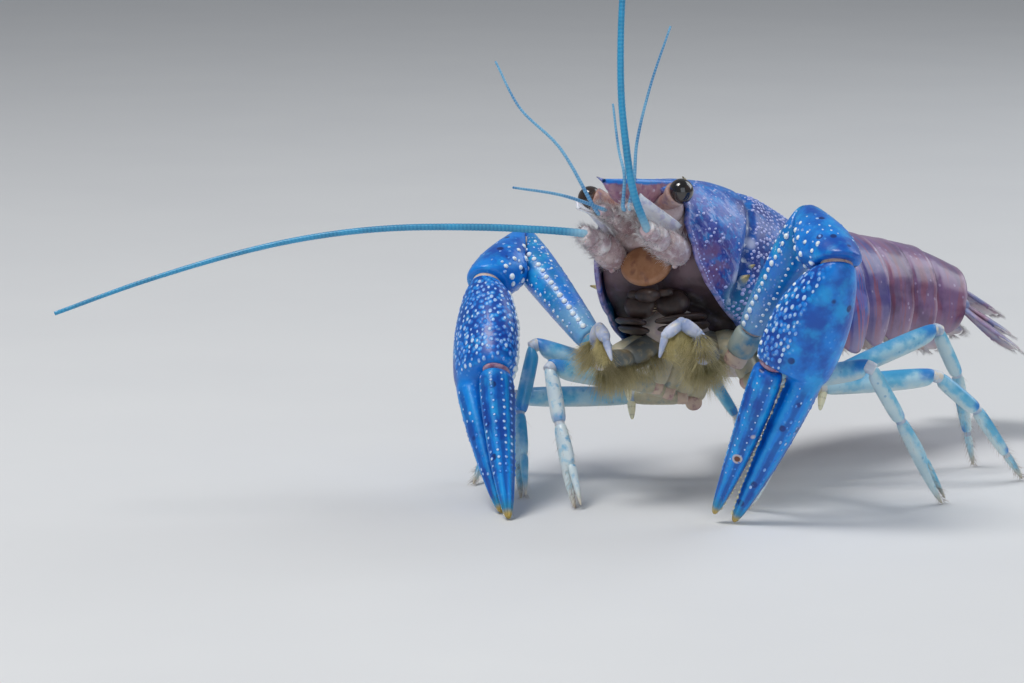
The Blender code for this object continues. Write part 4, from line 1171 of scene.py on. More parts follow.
def scatter(name, kind, spots):
    """One mesh of many small things.

    A spot is (place, way out, half width, height, lean, stretch): the stretch lengthens it
    along its lean.
    """
    points, faces = STAMPS[kind]
    all_points, all_faces, heights = [], [], []
    top = points[:, 2].max()
    for place, out, wide, high, lean, stretch in spots:
        along = lean if lean.length > 1e-6 else ANY_WAY
        side = square_to(along, out)
        third = out.cross(side)
        basis = np.array([side * wide * stretch, third * wide, out * high])
        placed = points @ basis + np.array(place)
        placed += np.outer(np.clip(points[:, 2], 0, None) ** 2, np.array(lean))
        base = len(all_points) * len(points)
        all_points.append(placed)
        heights.append(np.clip(points[:, 2] / top, 0, 1))
        all_faces += [tuple(base + k for k in face) for face in faces]
    obj = mesh_object(name, np.vstack(all_points), all_faces)
    set_attribute(obj, "height", np.concatenate(heights))
    return obj


HAIR_SHARES = (0.0, 0.4, 0.75)
UV_PATCH = 0.003
# A little over a whole turn, so that a share of it stays on the colour map
MAP_TURN = 6.4


def map_share(share):
    """Keeps a hair's patch off the colour map's edges."""
    return 0.1 + 0.8 * share


def hair(name, strands, thick):
    """One mesh of tapered three-sided hairs.

    A strand is (root, way, droop, length, u, v): it starts along its way, bends by its
    droop, and its patch of the colour map lies at its root's place on the skin's unwrap.
    """
    count = len(strands)
    root = np.array([s[0] for s in strands])
    way = np.array([s[1] for s in strands])
    droop = np.array([s[2] for s in strands])
    length = np.array([s[3] for s in strands])[:, None]
    side = np.cross(way, ANY_WAY)
    side /= np.linalg.norm(side, axis=1)[:, None]
    third = np.cross(way, side)
    layers = []
    for share in HAIR_SHARES:
        centre = root + way * length * share + droop * length * share**2
        for k in range(3):
            turn = 2 * math.pi * k / 3
            radius = thick * (1.0 - 0.8 * share)
            layers.append(centre + (side * math.cos(turn) + third * math.sin(turn)) * radius)
    layers.append(root + way * length + droop * length)
    points = np.stack(layers, axis=1).reshape(-1, 3)
    points[:, 2] = np.maximum(points[:, 2], FLOOR_Z + HAIR_LIFT)
    pattern = []
    for ring in (0, 3):
        for k in range(3):
            j = (k + 1) % 3
            pattern.append((ring + k, ring + j, ring + 3 + j, ring + 3 + k))
    pattern += [(6, 7, 9), (7, 8, 9), (8, 6, 9), (2, 1, 0)]
    faces = [tuple(10 * i + k for k in face) for i in range(count) for face in pattern]
    obj = mesh_object(name, points, faces)
    heights = [share for share in HAIR_SHARES for _ in range(3)] + [1.0]
    set_attribute(obj, "height", np.tile(heights, count))
    place = np.array([s[4:6] for s in strands])
    spread = np.array([(k % 3 / 2.0, height) for k, height in enumerate(heights)]) * UV_PATCH
    corners = np.empty(len(obj.data.loops), np.int32)
    obj.data.loops.foreach_get("vertex_index", corners)
    uv = place[corners // 10] * (1 - UV_PATCH) + spread[corners % 10]
    layer = obj.data.uv_layers.new(name="OFBake")
    layer.data.foreach_set("uv", uv.ravel().astype(np.float32))
    return obj


def sheet_of(name, across, along, place):
    """A grid whose every corner is moved to its place by a function of its two shares."""
    clear_choice()
    bpy.ops.mesh.primitive_grid_add(x_subdivisions=across, y_subdivisions=along, size=1.0)
    obj = bpy.context.object
    obj.name = name
    for vertex in obj.data.vertices:
        vertex.co = place(vertex.co.x + 0.5, vertex.co.y + 0.5)
    return obj


def grid_shares(obj, across, along):
    """The two shares that each corner of such a grid was placed by."""
    index = np.arange(len(obj.data.vertices))
    return index % (across + 1) / across, index // (across + 1) / along


def thicken(obj, thickness, inside_point):
    """Turns a sheet's faces away from a point and gives it a wall on that side."""
    face = obj.data.polygons[len(obj.data.polygons) // 2]
    if face.normal.dot(face.center - inside_point) < 0:
        obj.data.flip_normals()
    wall = obj.modifiers.new("Wall", "SOLIDIFY")
    wall.thickness = thickness
    wall.offset = -1.0
    wall.use_even_offset = False
    choose(obj)
    bpy.ops.object.modifier_apply(modifier=wall.name)
    obj.data.shade_smooth()


def ball(name, centre, axes, radii, segments=24, rings=16):
    """A rounded lump with its own radius along each of three axes."""
    clear_choice()
    bpy.ops.mesh.primitive_uv_sphere_add(segments=segments, ring_count=rings, radius=1.0)
    obj = bpy.context.object
    obj.name = name
    obj.data.shade_smooth()
    local = points_of(obj)
    set_attribute(obj, "along", np.clip(0.5 + 0.5 * local[:, 2], 0, 1))
    set_attribute(obj, "inner", np.clip(0.5 + 0.5 * local[:, 0], 0, 1))
    laid = Matrix([axis * radius for axis, radius in zip(axes, radii)]).transposed().to_4x4()
    laid.translation = centre
    obj.data.transform(laid)
    return obj


def table_value(table, place):
    return float(np.interp(place, [row[0] for row in table], [row[1] for row in table]))


def station_at(s):
    """Half width, top and bottom of the trunk at s, by a smooth curve through its stations."""
    for k in range(len(CARAPACE) - 1):
        if s <= CARAPACE[k + 1][0] or k == len(CARAPACE) - 2:
            break
    before = CARAPACE[max(k - 1, 0)]
    first, second = CARAPACE[k], CARAPACE[k + 1]
    after = CARAPACE[min(k + 2, len(CARAPACE) - 1)]
    span = second[0] - first[0]
    t = (s - first[0]) / span
    values = []
    for j in range(1, 4):
        m0 = (second[j] - before[j]) / (second[0] - before[0]) * span
        m1 = (after[j] - first[j]) / (after[0] - first[0]) * span
        values.append(
            (2 * t**3 - 3 * t**2 + 1) * first[j]
            + (t**3 - 2 * t**2 + t) * m0
            + (3 * t**2 - 2 * t**3) * second[j]
            + (t**3 - t**2) * m1
        )
    return values


def groove_s(height):
    """Where the cervical groove runs, from the shell's top at 1 down its sides."""
    return GROOVE_TOP_S - GROOVE_SWEEP * (1 - height) ** 0.36


def groove_at(turn, s):
    """How deep in the cervical groove a point of the shell lies, from 0 to 1."""
    height = math.sin(turn)
    depth = math.exp(-(((s - groove_s(height)) / GROOVE_WIDTH) ** 2))
    return depth * min(1.0, max(0.0, (height + 0.62) / 0.3))


def areola_at(turn, s, half_w):
    """The two fine lines that run back from the groove, nearest to each other midway."""
    if s < GROOVE_TOP_S or math.sin(turn) < 0.5:
        return 0.0
    across = abs(math.cos(turn)) ** (2 / SIDE_SWELL) * half_w
    middle = 1.5 + 0.035 * (s + 7.5) ** 2
    return 0.5 * math.exp(-(((across - middle) / 0.38) ** 2))


def trunk_skin(turn, s, inset=0.0):
    """x, s and n of the shell's surface round the trunk."""
    half_w, top, bottom = station_at(s)
    c, h = math.cos(turn), math.sin(turn)
    power = SIDE_SWELL if h > 0 else BELLY_SWELL
    draw = GROOVE_DEPTH * (groove_at(turn, s) + areola_at(turn, s, half_w)) + inset
    x = math.copysign(abs(c) ** (2 / power), c) * (half_w - draw)
    n = math.copysign(abs(h) ** (2 / power), h) * ((top if h > 0 else bottom) - draw)
    if s < -25.0:
        ridge = math.exp(-(((abs(x) - 4.6) / 0.45) ** 2)) if h > 0 else 0.0
        n += 0.3 * ridge * min(1.0, (-25.0 - s) / 2.0)
    n += 0.1 * noise.noise(Vector((x, s, n)) * 0.5)
    return Vector((x, s, max(n, BELLY_N + inset)))


def shell_turn(a, b):
    """The angle round the trunk at a share a from the left edge to the right one."""
    low = table_value(LOWER_EDGE, b)
    lowest = -math.asin(low)
    return lowest + (math.pi - 2 * lowest) * a


def shell_s(turn, b):
    front = table_value(FRONT_EDGE, math.sin(turn))
    return front * (1 - b) - 0.15 * b


def carapace():
    """The shell of head and trunk, rolled in at its edges; gives its surface back."""

    def place(a, b):
        turn = shell_turn(a, b)
        s = shell_s(turn, b)
        point = trunk_skin(turn, s)
        rim = max(0.0, 1 - b / 0.022) + max(0.0, 1 - (1 - b) / 0.03)
        rim += max(0.0, 1 - min(a, 1 - a) / 0.012)
        flare = 0.22 * min(rim, 1.0)
        point.z += flare * math.sin(turn)
        point.x += flare * math.cos(turn)
        return trunk(*point)

    obj = sheet_of("carapace", 150, 110, place)
    thicken(obj, SHELL_WALL, trunk(0, -16, 0))
    depth, border = [], []
    for _, s, n in trunk_axes(points_of(obj)):
        _, top, bottom = station_at(max(CARAPACE[0][0], min(0.0, s)))
        reach = top if n > 0 else bottom
        power = SIDE_SWELL if n > 0 else BELLY_SWELL
        height = math.copysign(min(1.0, abs(n) / reach) ** (power / 2), n)
        turn = math.asin(height)
        depth.append(groove_at(turn, s))
        front = table_value(FRONT_EDGE, height)
        border.append(max(0.0, 1 - (s - front) / 0.9))
    set_attribute(obj, "groove", depth)
    set_attribute(obj, "edge", border)
    surface = Surface(obj)
    settle(obj, "carapace", ["cephalothorax"])
    return surface


def spine(root, tip, wide, sign):
    """The spot of one cone between two points of the trunk's axes."""
    start, end = on_side(root, sign), on_side(tip, sign)
    out = end - start
    return (start + out * 0.35, out.normalized(), wide, out.length * 0.5, Vector(), 1.0)


def carapace_granules(surface):
    """Rough granules over the shell's sides, thin on the head and none on its smooth patch."""
    draw = random.Random(11)
    lean = TRUNK_TURN @ Vector((0, -0.07, -0.03))
    spots, spines = [], []
    spacing = Spacing(GRANULE_GAP)
    for _ in range(GRANULE_TRIES):
        a, b = draw.random(), draw.random()
        turn = shell_turn(a, b)
        s = shell_s(turn, b)
        height = math.sin(turn)
        if b < 0.02 or b > 0.975 or groove_at(turn, s) > 0.3:
            continue
        behind = s > groove_s(height)
        chance = 0.95 if behind else 0.14
        if height > 0.86:
            chance *= 0.3
        x, s, n = trunk_skin(turn, s)
        if not behind and s > CHEEK_S and n < CHEEK_N:
            chance = 0.02
        if draw.random() > chance:
            continue
        point = trunk(x, s, n)
        if not spacing.free(point):
            continue
        found, normal = surface.nearest(point)
        if normal.dot(found - trunk(0, s, 0)) < 0:
            normal = -normal
        size = draw.uniform(0.13, 0.26) * (1.0 if behind else 0.75)
        spots.append((found - normal * 0.04, normal, size, size * 0.6, lean, draw.uniform(1.1, 1.9)))
    settle(scatter("carapace_granules", "dome", spots), "shell_granule")
    for sign in SIDES.values():
        spines += [spine(root, tip, wide, sign) for root, tip, wide in SHELL_SPINES]
    settle(scatter("carapace_spines", "cone", spines), "yellow_spine")
    beads = []
    for sign in SIDES.values():
        for k in range(22):
            height = -0.56 + k * 0.034
            turn = math.asin(height)
            turn = turn if sign > 0 else math.pi - turn
            x, s, n = trunk_skin(turn, shell_s(turn, 0.012))
            out = (trunk(x, s - 0.6, n) - trunk(x * 0.8, s, n * 0.8)).normalized()
            beads.append((trunk(x, s, n), out, 0.15, 0.16, Vector(), 1.0))
    settle(scatter("carapace_edge_beads", "dome", beads), "shell_granule")


def rostrum():
    """The beak between the eyes: hollowed above, with a spine on each side before its point."""

    def place(a, b):
        spot = b * (len(ROSTRUM) - 1)
        k = min(int(spot), len(ROSTRUM) - 2)
        share = spot - k
        s, half, top, thick = (p + (q - p) * share for p, q in zip(ROSTRUM[k], ROSTRUM[k + 1]))
        turn = 2 * math.pi * a
        c, h = math.cos(turn), math.sin(turn)
        if h > 0:
            x = math.copysign(abs(c) ** 0.7, c) * half
            n = top - RIM_THICK + RIM_THICK * h**0.7
            n -= 0.75 * max(0.0, 1 - (abs(x) / (half * 0.84)) ** 4)
        else:
            x = math.copysign(abs(c) ** 1.1, c) * half * (1 - 0.1 * abs(h))
            n = top - RIM_THICK - (thick - RIM_THICK) * abs(h) ** 0.9
            n += 0.12 * noise.noise(Vector((x, s, n)) * 1.3)
        return trunk(x, s, n)

    obj = sheet_of("rostrum", 48, 60, place)
    close_seams(obj, 0.001, holes=True)
    local = trunk_axes(points_of(obj))
    tops = np.interp(local[:, 1], [row[0] for row in ROSTRUM[::-1]], [row[2] for row in ROSTRUM[::-1]])
    set_attribute(obj, "inner", np.clip(1 - (tops - local[:, 2]) / 1.5, 0, 1))
    settle(obj, "rostrum")
    spots = [spine(*ROSTRUM_SPINE, sign) for sign in SIDES.values()]
    settle(scatter("rostrum_spines", "cone", spots), "shell_granule")


def eyes():
    """The two glossy eyeballs, the waisted stalks that carry them, and the skin of their sockets."""
    for name, sign in SIDES.items():
        centre = on_side(EYE, sign)
        root = on_side((2.6, -31.2, 4.4), sign)
        way = (centre - on_side((3.6, -33.2, 5.0), sign)).normalized()
        up = square_to(Vector((0, 0, 1)), way)
        obj = ball(f"eyeball_{name}", centre, (up.cross(way), up, way), (1.4, 1.42, 1.36), 40, 28)
        settle(obj, "eye", [f"eye_{name}"])
        stations = ((0.0, 1.2, 1.1), (0.3, 1.05, 1.0), (0.55, 1.12, 1.06), (0.75, 1.3, 1.28))
        stations += ((0.88, 1.42, 1.44), (0.95, 1.38, 1.4), (1.0, 1.15, 1.15))
        end = centre - way * 0.4
        obj = article(f"eye_stalk_{name}", root, end, UP, stations, 28)
        settle(obj, "eye_stalk", [f"eyestalk_{name}"])
        obj = ball(f"eye_socket_{name}", on_side((3.0, -31.0, 4.0), sign), TRUNK_TURN.col, (2.0, 1.3, 1.9))
        settle(obj, "face_skin")


def mouth_lining():
    """The inner walls behind the shell's front edge, drawn in to a hollow at the mouth."""

    def place(a, b):
        turn = 2 * math.pi * a - math.pi / 2
        height = math.sin(turn)
        front = table_value(FRONT_EDGE, max(-0.62, height)) + 0.9
        low, high = LINING_WALLS
        share = min(1.0, max(0.0, (b - low) / (high - low)))
        s = LINING_REAR.y + (front - LINING_REAR.y) * share
        point = trunk_skin(turn, s, 0.85)
        if b < low:
            point = point.lerp(LINING_REAR, 1 - b / low)
        if b > high:
            inwards = (b - high) / (1 - high)
            point = point.lerp(THROAT, inwards)
            point.y -= 0.8 * math.sin(math.pi * inwards)
        return trunk(*point)

    obj = sheet_of("mouth_lining", 72, 60, place)
    close_seams(obj, 0.01)
    settle(obj, "lining")


def head_front():
    """The soft face between the shell's edges, its plates and jaws."""
    axes = (LEFT, UP, -BACK)
    mouth_lining()
    stations = ((0.0, 6.3, 5.4), (0.5, 6.0, 5.0), (0.85, 5.4, 3.4), (0.96, 4.9, 2.6), (1.0, 4.0, 1.9))
    obj = article("head_flesh", trunk(0, -16, 1.4), trunk(0, -30.9, 3.0), LEFT, stations, 32)
    settle(obj, "face_skin")
    obj = ball("epistome_plate", trunk(0, -29.7, -1.75), axes, (3.2, 2.35, 0.9), 48, 32)
    local = trunk_axes(points_of(obj))
    local[:, 0] *= 1 - 0.2 * np.clip((local[:, 2] + 1.0) / 2.0, 0, 1)
    out = np.hypot(local[:, 0] / 3.3, (local[:, 2] + 1.8) / 2.3)
    front = np.clip((-29.5 - local[:, 1]) / 0.4, 0, 1)
    local[:, 1] -= 0.14 * np.exp(-(((out - 0.84) / 0.14) ** 2)) * front
    notch = np.exp(-((local[:, 0] / 0.25) ** 2)) * np.clip((-2.6 - local[:, 2]) / 1.2, 0, 1)
    local[:, 1] += 0.35 * notch * front
    shaped = local @ np.array(TRUNK_TURN).T + np.array(TRUNK_REAR)
    obj.data.vertices.foreach_set("co", shaped.ravel())
    settle(obj, "epistome")
    obj = ball("epistome_point", trunk(0, -30.4, 1.1), axes, (1.5, 0.9, 0.8), 20, 14)
    settle(obj, "face_skin")
    settle(ball("upper_lip", trunk(0, -29.0, -5.0), axes, (1.6, 0.8, 0.9), 24, 16), "jaw_plate")
    for name, sign in SIDES.items():
        spot = on_side((4.0, -30.4, -2.25), sign)
        settle(ball(f"gland_knob_{name}", spot, axes, (0.3, 0.3, 0.35), 16, 12), "face_skin")
        # The gland slits: small dark knobs painted as the shade inside the openings
        spot = on_side((2.75, -30.25, -0.9), sign)
        settle(ball(f"gland_slit_{name}", spot, axes, (0.14, 0.42, 0.3), 14, 10), "mouth_dark")
        obj = ball(f"mandible_{name}", on_side((2.0, -26.9, -5.6), sign), axes, (2.1, 1.6, 1.1), 32, 24)
        settle(obj, "jaw_plate")
        teeth = []
        for k in range(6):
            place = on_side((0.3, -27.2, -4.9 - 0.3 * k), sign)
            teeth.append((place, -LEFT * sign, 0.13, 0.26, Vector(), 1.0))
        settle(scatter(f"mandible_teeth_{name}", "cone", teeth), "jaw_tooth")
        obj = article(
            f"mandible_palp_{name}",
            on_side((2.9, -28.4, -4.6), sign),
            on_side((0.7, -28.9, -4.9), sign),
            UP,
            ((0.0, 0.4, 0.35), (0.3, 0.5, 0.4), (0.7, 0.42, 0.35), (1.0, 0.2, 0.15)),
            14,
        )
        settle(obj, "jaw_plate")
        for rank in range(2):
            drop = 0.75 * rank
            obj = article(
                f"maxilla_{rank + 1}_{name}",
                on_side((5.6, -25.2 + drop, -6.9 - drop), sign),
                on_side((0.6, -28.4 + drop, -7.9 - drop), sign),
                -BACK,
                ((0.0, 1.1, 0.45), (0.4, 1.35, 0.5), (0.8, 0.9, 0.4), (1.0, 0.4, 0.2)),
                20,
            )
            settle(obj, "jaw_plate")


def feeler_bases():
    """The three joints under each feeler, furred with fine pale hair."""
    draw = random.Random(31)
    for name, sign in SIDES.items():
        for chain, (node, joints, sizes) in FEELER_BASES.items():
            for k, (first, second, size) in enumerate(zip(joints, joints[1:], sizes)):
                start, end = on_side(first, sign), on_side(second, sign)
                stations = [(share, size * wide, size * deep) for share, wide, deep in BASE_SWELL]
                obj = article(f"{chain}_{k + 1}_{name}", start, end, LEFT, stations, 24)
                limb = Limb(Surface(obj), start, end, LEFT, draw)
                replaced = () if k else [f"{node}_{name}"]
                settle(obj, "face_plate" if k else "face_skin", replaced)
                strands = []
                for j in range(330):
                    share = draw.uniform(0.1, 0.98) if j % 3 else draw.uniform(0.9, 0.99)
                    turn = draw.uniform(0, 2 * math.pi)
                    hit = limb.spot(share, turn)
                    if hit:
                        point, normal = hit
                        aim = (normal * 0.7 + limb.way * draw.uniform(0.4, 1.6)).normalized()
                        droop = Vector((0, 0, draw.uniform(-0.25, 0.1)))
                        length = draw.uniform(0.45, 1.3)
                        strands.append((point, aim, droop, length, map_share(share), turn / MAP_TURN))
                settle(hair(f"{chain}_fuzz_{k + 1}_{name}", strands, FINE_HAIR), "pale_hair")


def antenna_scales():
    """The blades outside the antennae: a thick outer edge with a point, a thin inner leaf."""
    for name, sign in SIDES.items():
        root, tip = on_side((4.5, -31.0, 2.0), sign), on_side((3.5, -38.9, 3.75), sign)
        way = (tip - root).normalized()
        out = square_to(LEFT * sign, way)
        up = way.cross(out) * sign
        length = (tip - root).length

        def place(a, b):
            narrowing = 1.0 if b < 0.8 else (1 - b) / 0.2 * 0.75 + 0.25
            spread = (1 - (2 * b - 0.75) ** 2 / 3.2) * narrowing
            reach = 0.45 - 2.1 * a * max(0.05, spread)
            lift = 0.30 * math.exp(-((a / 0.14) ** 2)) + 0.2 * math.sin(math.pi * a) - 0.9 * a
            return root + way * (b * length) + out * reach + up * lift

        obj = sheet_of(f"scale_blade_{name}", 24, 36, place)
        thicken(obj, SCALE_WALL, root + way * 3.0 - up * 4.0)
        settle(obj, "scale_plate", [f"antenna_scale_{name}"])
        strands = []
        for k in range(220):
            b = 0.12 + 0.86 * k / 219
            start = place(0.99, b)
            aim = (-out * 0.8 + way * 0.75 + up * 0.1 * math.sin(k)).normalized()
            strands.append((start, aim, way * 0.15, 0.85, map_share(b), 0.3))
        settle(hair(f"scale_fringe_{name}", strands, FINE_HAIR), "pale_hair")


def smooth_line(points, steps):
    """Points at equal distances along a Catmull-Rom curve."""
    points = [points[0] * 2 - points[1], *points, points[-1] * 2 - points[-2]]
    curve = []
    for a, b, c, d in zip(points, points[1:], points[2:], points[3:]):
        for k in range(40):
            t = k / 40
            bent = (2 * a - 5 * b + 4 * c - d) * t**2 + (3 * b - a - 3 * c + d) * t**3
            curve.append(0.5 * (2 * b + (c - a) * t + bent))
    curve.append(points[-2])
    reach = np.concatenate([[0.0], np.cumsum([(q - p).length for p, q in zip(curve, curve[1:])])])
    goals = np.linspace(0.0, reach[-1], steps)
    axes = [np.interp(goals, reach, [p[k] for p in curve]) for k in range(3)]
    return [Vector(p) for p in zip(*axes)], reach[-1]


def whip(name, points, thick, thin, ring_length, finish, replaced):
    """A ringed feeler: a curve whose radius swells at each ring, made into a mesh."""
    points = [Vector(p) for p in points]
    _, total = smooth_line(points, 2)
    rings = int(total / ring_length)
    line, _ = smooth_line(points, rings * 4 + 1)
    data = bpy.data.curves.new(name, "CURVE")
    data.dimensions = "3D"
    data.bevel_depth = 1.0
    data.bevel_resolution = 2
    data.use_fill_caps = True
    spline = data.splines.new("POLY")
    spline.points.add(len(line) - 1)
    swell = (0.0, 0.5, 1.0, 0.55)
    for k, (point, spot) in enumerate(zip(line, spline.points)):
        share = k / (len(line) - 1)
        spot.co = (*point, 1.0)
        spot.radius = (thick + (thin - thick) * share**0.8) * (0.96 + 0.06 * swell[k % 4])
    choose(new_object(name, data))
    bpy.ops.object.convert(target="MESH")
    obj = bpy.context.object
    obj.data.shade_smooth()
    centres = np.array([tuple(p) for p in line])
    vertices = points_of(obj)
    nearest = np.empty(len(vertices), int)
    for first in range(0, len(vertices), 4000):
        part = vertices[first : first + 4000]
        nearest[first : first + 4000] = ((part[:, None] - centres[None]) ** 2).sum(2).argmin(1)
    set_attribute(obj, "along", nearest / (len(line) - 1))
    set_attribute(obj, "ring", np.array(swell)[nearest % 4])
    settle(obj, finish, [replaced])


def feelers():
    """The two long antennae, and the two short whips of each antennule."""
    for name, sign in SIDES.items():
        end = on_side(ANTENNA_END, sign)
        before = on_side((3.9, -36.2, 0.35), sign)
        points = (before, end, *ANTENNAE[name])
        whip(f"antenna_whip_{name}", points, *ANTENNA_SIZES, "antenna_rings", f"antenna_{name}")
        joint, root = on_side(ANTENNULE_END, sign), on_side((1.72, -36.8, 2.87), sign)
        way = (joint - root).normalized()
        lateral = square_to(LEFT * sign, way)
        for part, shift in (("outer", 0.4), ("inner", -0.4)):
            start = joint + lateral * shift
            points = (start - way * 0.5, start + way * 0.5, *ANTENNULES[f"{name}_{part}"])
            replaced = f"antennule_{name}_{part}"
            whip(f"antennule_whip_{part}_{name}", points, *ANTENNULE_SIZES, "antennule_rings", replaced)


def foot_jaws():
    """The third pair of mouth limbs: flat under the head, then arched up and over, with brushes."""
    down = -UP
    draw = random.Random(23)
    for name, sign in SIDES.items():
        points = [on_side(p, sign) for p in FOOT_JAW]
        hollow = on_side((4.7, -30.4, -12.4), sign)
        inward = LEFT * -sign
        for k, (first, second) in enumerate(zip(points, points[1:])):
            wide, deep = FOOT_JAW_SIZES[k]
            stations = [(share, wide * across, deep * through) for share, across, through in FOOT_JAW_SWELL]
            if k == 5:
                stations = ((-0.05, wide * 0.8, deep * 0.8), (0.2, wide, deep), (0.7, wide * 0.6, deep * 0.6))
                stations += ((1.0, 0.13, 0.13),)
            obj = article(f"foot_jaw_{k + 1}_{name}", first, second, inward, stations, 20)
            replaced = [f"maxilliped_{name}"] if k == 0 else ()
            settle(obj, "foot_jaw" if k > 1 else "jaw_pale", replaced)
            if 0 < k < 5:
                radii = (deep * 0.8,) * 3
                obj = ball(f"foot_jaw_joint_{k + 1}_{name}", second, TRUNK_TURN.col, radii, 16, 12)
                settle(obj, "foot_jaw")
        olive, straw = [], []
        for _ in range(OLIVE_COUNT):
            k = draw.choice((0, 1, 1, 1, 2, 2))
            first, second = points[k], points[k + 1]
            share = draw.random()
            way = (second - first).normalized()
            spread = draw.uniform(-0.9, 1.0)
            out = square_to(inward * spread + down * draw.uniform(0.15, 1.0), way)
            root = first.lerp(second, share) + out * FOOT_JAW_SIZES[k][1] * 0.8
            aim = (out + way * draw.uniform(-0.1, 0.5) + down * 0.3).normalized()
            droop = down * draw.uniform(0.2, 0.7) + inward * draw.uniform(-0.25, 0.3)
            u = 0.1 + 0.16 * (k + share)
            olive.append((root, aim, droop, draw.uniform(1.4, 3.0), u, 0.5 + 0.4 * spread))
        for _ in range(STRAW_COUNT):
            k = draw.choice((2, 3, 3, 4, 4, 5))
            share = draw.random()
            middle = points[k].lerp(points[k + 1], share)
            inner = (hollow - middle).normalized()
            root = middle + inner * FOOT_JAW_SIZES[k][1] * 0.75
            stray = Vector([draw.uniform(-0.5, 0.5) for _ in range(3)])
            aim = (inner + stray).normalized()
            droop = down * draw.uniform(0.1, 0.5)
            u = 0.1 + 0.13 * (k + share)
            straw.append((root, aim, droop, draw.uniform(1.0, 2.5), u, draw.uniform(0.2, 0.8)))
        settle(hair(f"foot_jaw_brush_{name}", olive, OLIVE_HAIR), "olive_hair")
        settle(hair(f"foot_jaw_inner_brush_{name}", straw, STRAW_HAIR), "straw_hair")


def underside():
    """The pale breast plates between the legs."""
    stations = ((0.0, 4.2, 2.4), (0.2, 5.4, 2.8), (0.6, 5.6, 3.0), (0.85, 4.6, 2.6), (1.0, 3.0, 1.6))
    obj = article("breast", trunk(0, -1.2, -6.4), trunk(0, -25.5, -6.9), LEFT, stations, 32)
    settle(obj, "belly_skin")
    for rank in range(5):
        s = -20.2 + 3.35 * rank
        stations = ((0.0, 1.2, 0.7), (0.5, 1.35, 0.9), (1.0, 1.2, 0.7))
        right, left = trunk(-3.4, s, -9.1), trunk(3.4, s, -9.1)
        obj = article(f"breast_plate_{rank + 1}", right, left, BACK, stations, 16)
        settle(obj, "belly_skin")
    obj = ball("trunk_flesh", trunk(0, -9, 0.5), TRUNK_TURN.col, (8.6, 11.5, 7.2), 40, 28)
    settle(obj, "belly_skin")


def turned(first, second, share):
    """A turn between two others."""
    return first.to_quaternion().slerp(second.to_quaternion(), share).to_matrix()


def abdomen_frames():
    """Where each segment starts, its own turn, and the turn of the plane at each joint."""
    places, turns = [trunk(0, 0, 0)], []
    turn = TRUNK_TURN.copy()
    for length, down, left, *_ in ABDOMEN:
        bend = Matrix.Rotation(math.radians(-down), 3, "X")
        turn = Matrix.Rotation(math.radians(-left), 3, "Z") @ turn @ bend
        turns.append(turn.copy())
        places.append(places[-1] + turn.col[1] * length)
    turns.append(turn @ Matrix.Rotation(math.radians(-TELSON_BEND), 3, "X"))
    joints = [TRUNK_TURN]
    joints += [turned(first, second, 0.5) for first, second in zip(turns, turns[1:])]
    return places, turns, joints


def arch_point(share, half_w, top, plate):
    """x and n on a segment's outer outline, from its left side plate to its right one."""
    edge = min(share, 1 - share)
    if edge < PLATE_SHARE:
        t = edge / PLATE_SHARE
        n = -plate + (plate + PLATE_N) * t
        x = half_w * (0.9 + 0.1 * math.sin(t * math.pi / 2))
        return (x if share < 0.5 else -x), n
    angle = math.pi * (share - PLATE_SHARE) / (1 - 2 * PLATE_SHARE)
    c, h = math.cos(angle), math.sin(angle)
    x = math.copysign(abs(c) ** (2 / RING_SWELL), c) * half_w
    return x, PLATE_N + (top - PLATE_N) * h ** (2 / RING_SWELL)


def abdomen():
    """Six overlapping rings with their side plates, the flesh inside them, and what they carry."""
    places, turns, joints = abdomen_frames()
    shapes = [values[3:] for values in ABDOMEN] + [TAIL_RING]
    for k, (*_, half_w, top, plate) in enumerate(ABDOMEN):
        start, end = places[k], places[k + 1]
        following = shapes[k + 1]

        def place(a, b):
            wide = half_w + (following[0] - half_w) * b * 0.9
            high = top + (following[1] - top) * b * 0.9
            size = 0.955 + 0.05 * min(1.0, b / 0.22) - 0.006 * max(0.0, (b - 0.6) / 0.4)
            if b > 0.93:
                size += 0.008
            size -= 0.012 * math.exp(-(((b - 0.2) / 0.03) ** 2))
            drop = 0.62 + 0.4 * math.sin(math.pi * min(1.0, 0.08 + b * 0.82)) ** 0.8
            turn = turned(joints[k], joints[k + 1], b)
            tuck = RING_TUCK * (1 - b) ** 2 if k else 0.0
            centre = start.lerp(end, b) + turn.col[1] * (0.15 - 0.3 * b - tuck)
            x, n = arch_point(a, wide * size, high * size, plate * drop)
            fold = sum(math.exp(-(((a - share) / 0.018) ** 2)) for share in (0.19, 0.81))
            x *= 1 - fold * 0.18 * 0.12
            return centre + turn.col[0] * x + turn.col[2] * n

        obj = sheet_of(f"tail_ring_{k + 1}", 90, 26, place)
        a, b = grid_shares(obj, 90, 26)
        set_attribute(obj, "rank", np.full(len(a), k / 5.0))
        set_attribute(obj, "along", b)
        set_attribute(obj, "height", 1 - np.abs(a - 0.5) * 2)
        thicken(obj, RING_WALL, start.lerp(end, 0.5))
        settle(obj, "abdomen", [f"abdomen_{k + 1}"])
        depth = top + plate * 0.5
        stations = ((0.0, half_w * 0.82, depth * 0.40), (0.5, half_w * 0.84, depth * 0.42))
        stations += ((1.0, following[0] * 0.82, (following[1] + following[2] * 0.5) * 0.40),)
        across, back, up = turns[k].col
        middle = up * ((top - plate * 0.5) * 0.5 - 0.3)
        front, rear = start + middle - back * 0.6, end + middle + back * 0.3
        settle(article(f"tail_flesh_{k + 1}", front, rear, across, stations, 28), "belly_skin")
        if 1 <= k <= 4:
            pleopods(k, start.lerp(end, 0.5), turns[k], plate)
    tail_fan(places[-1], turns[-1], joints[-1])


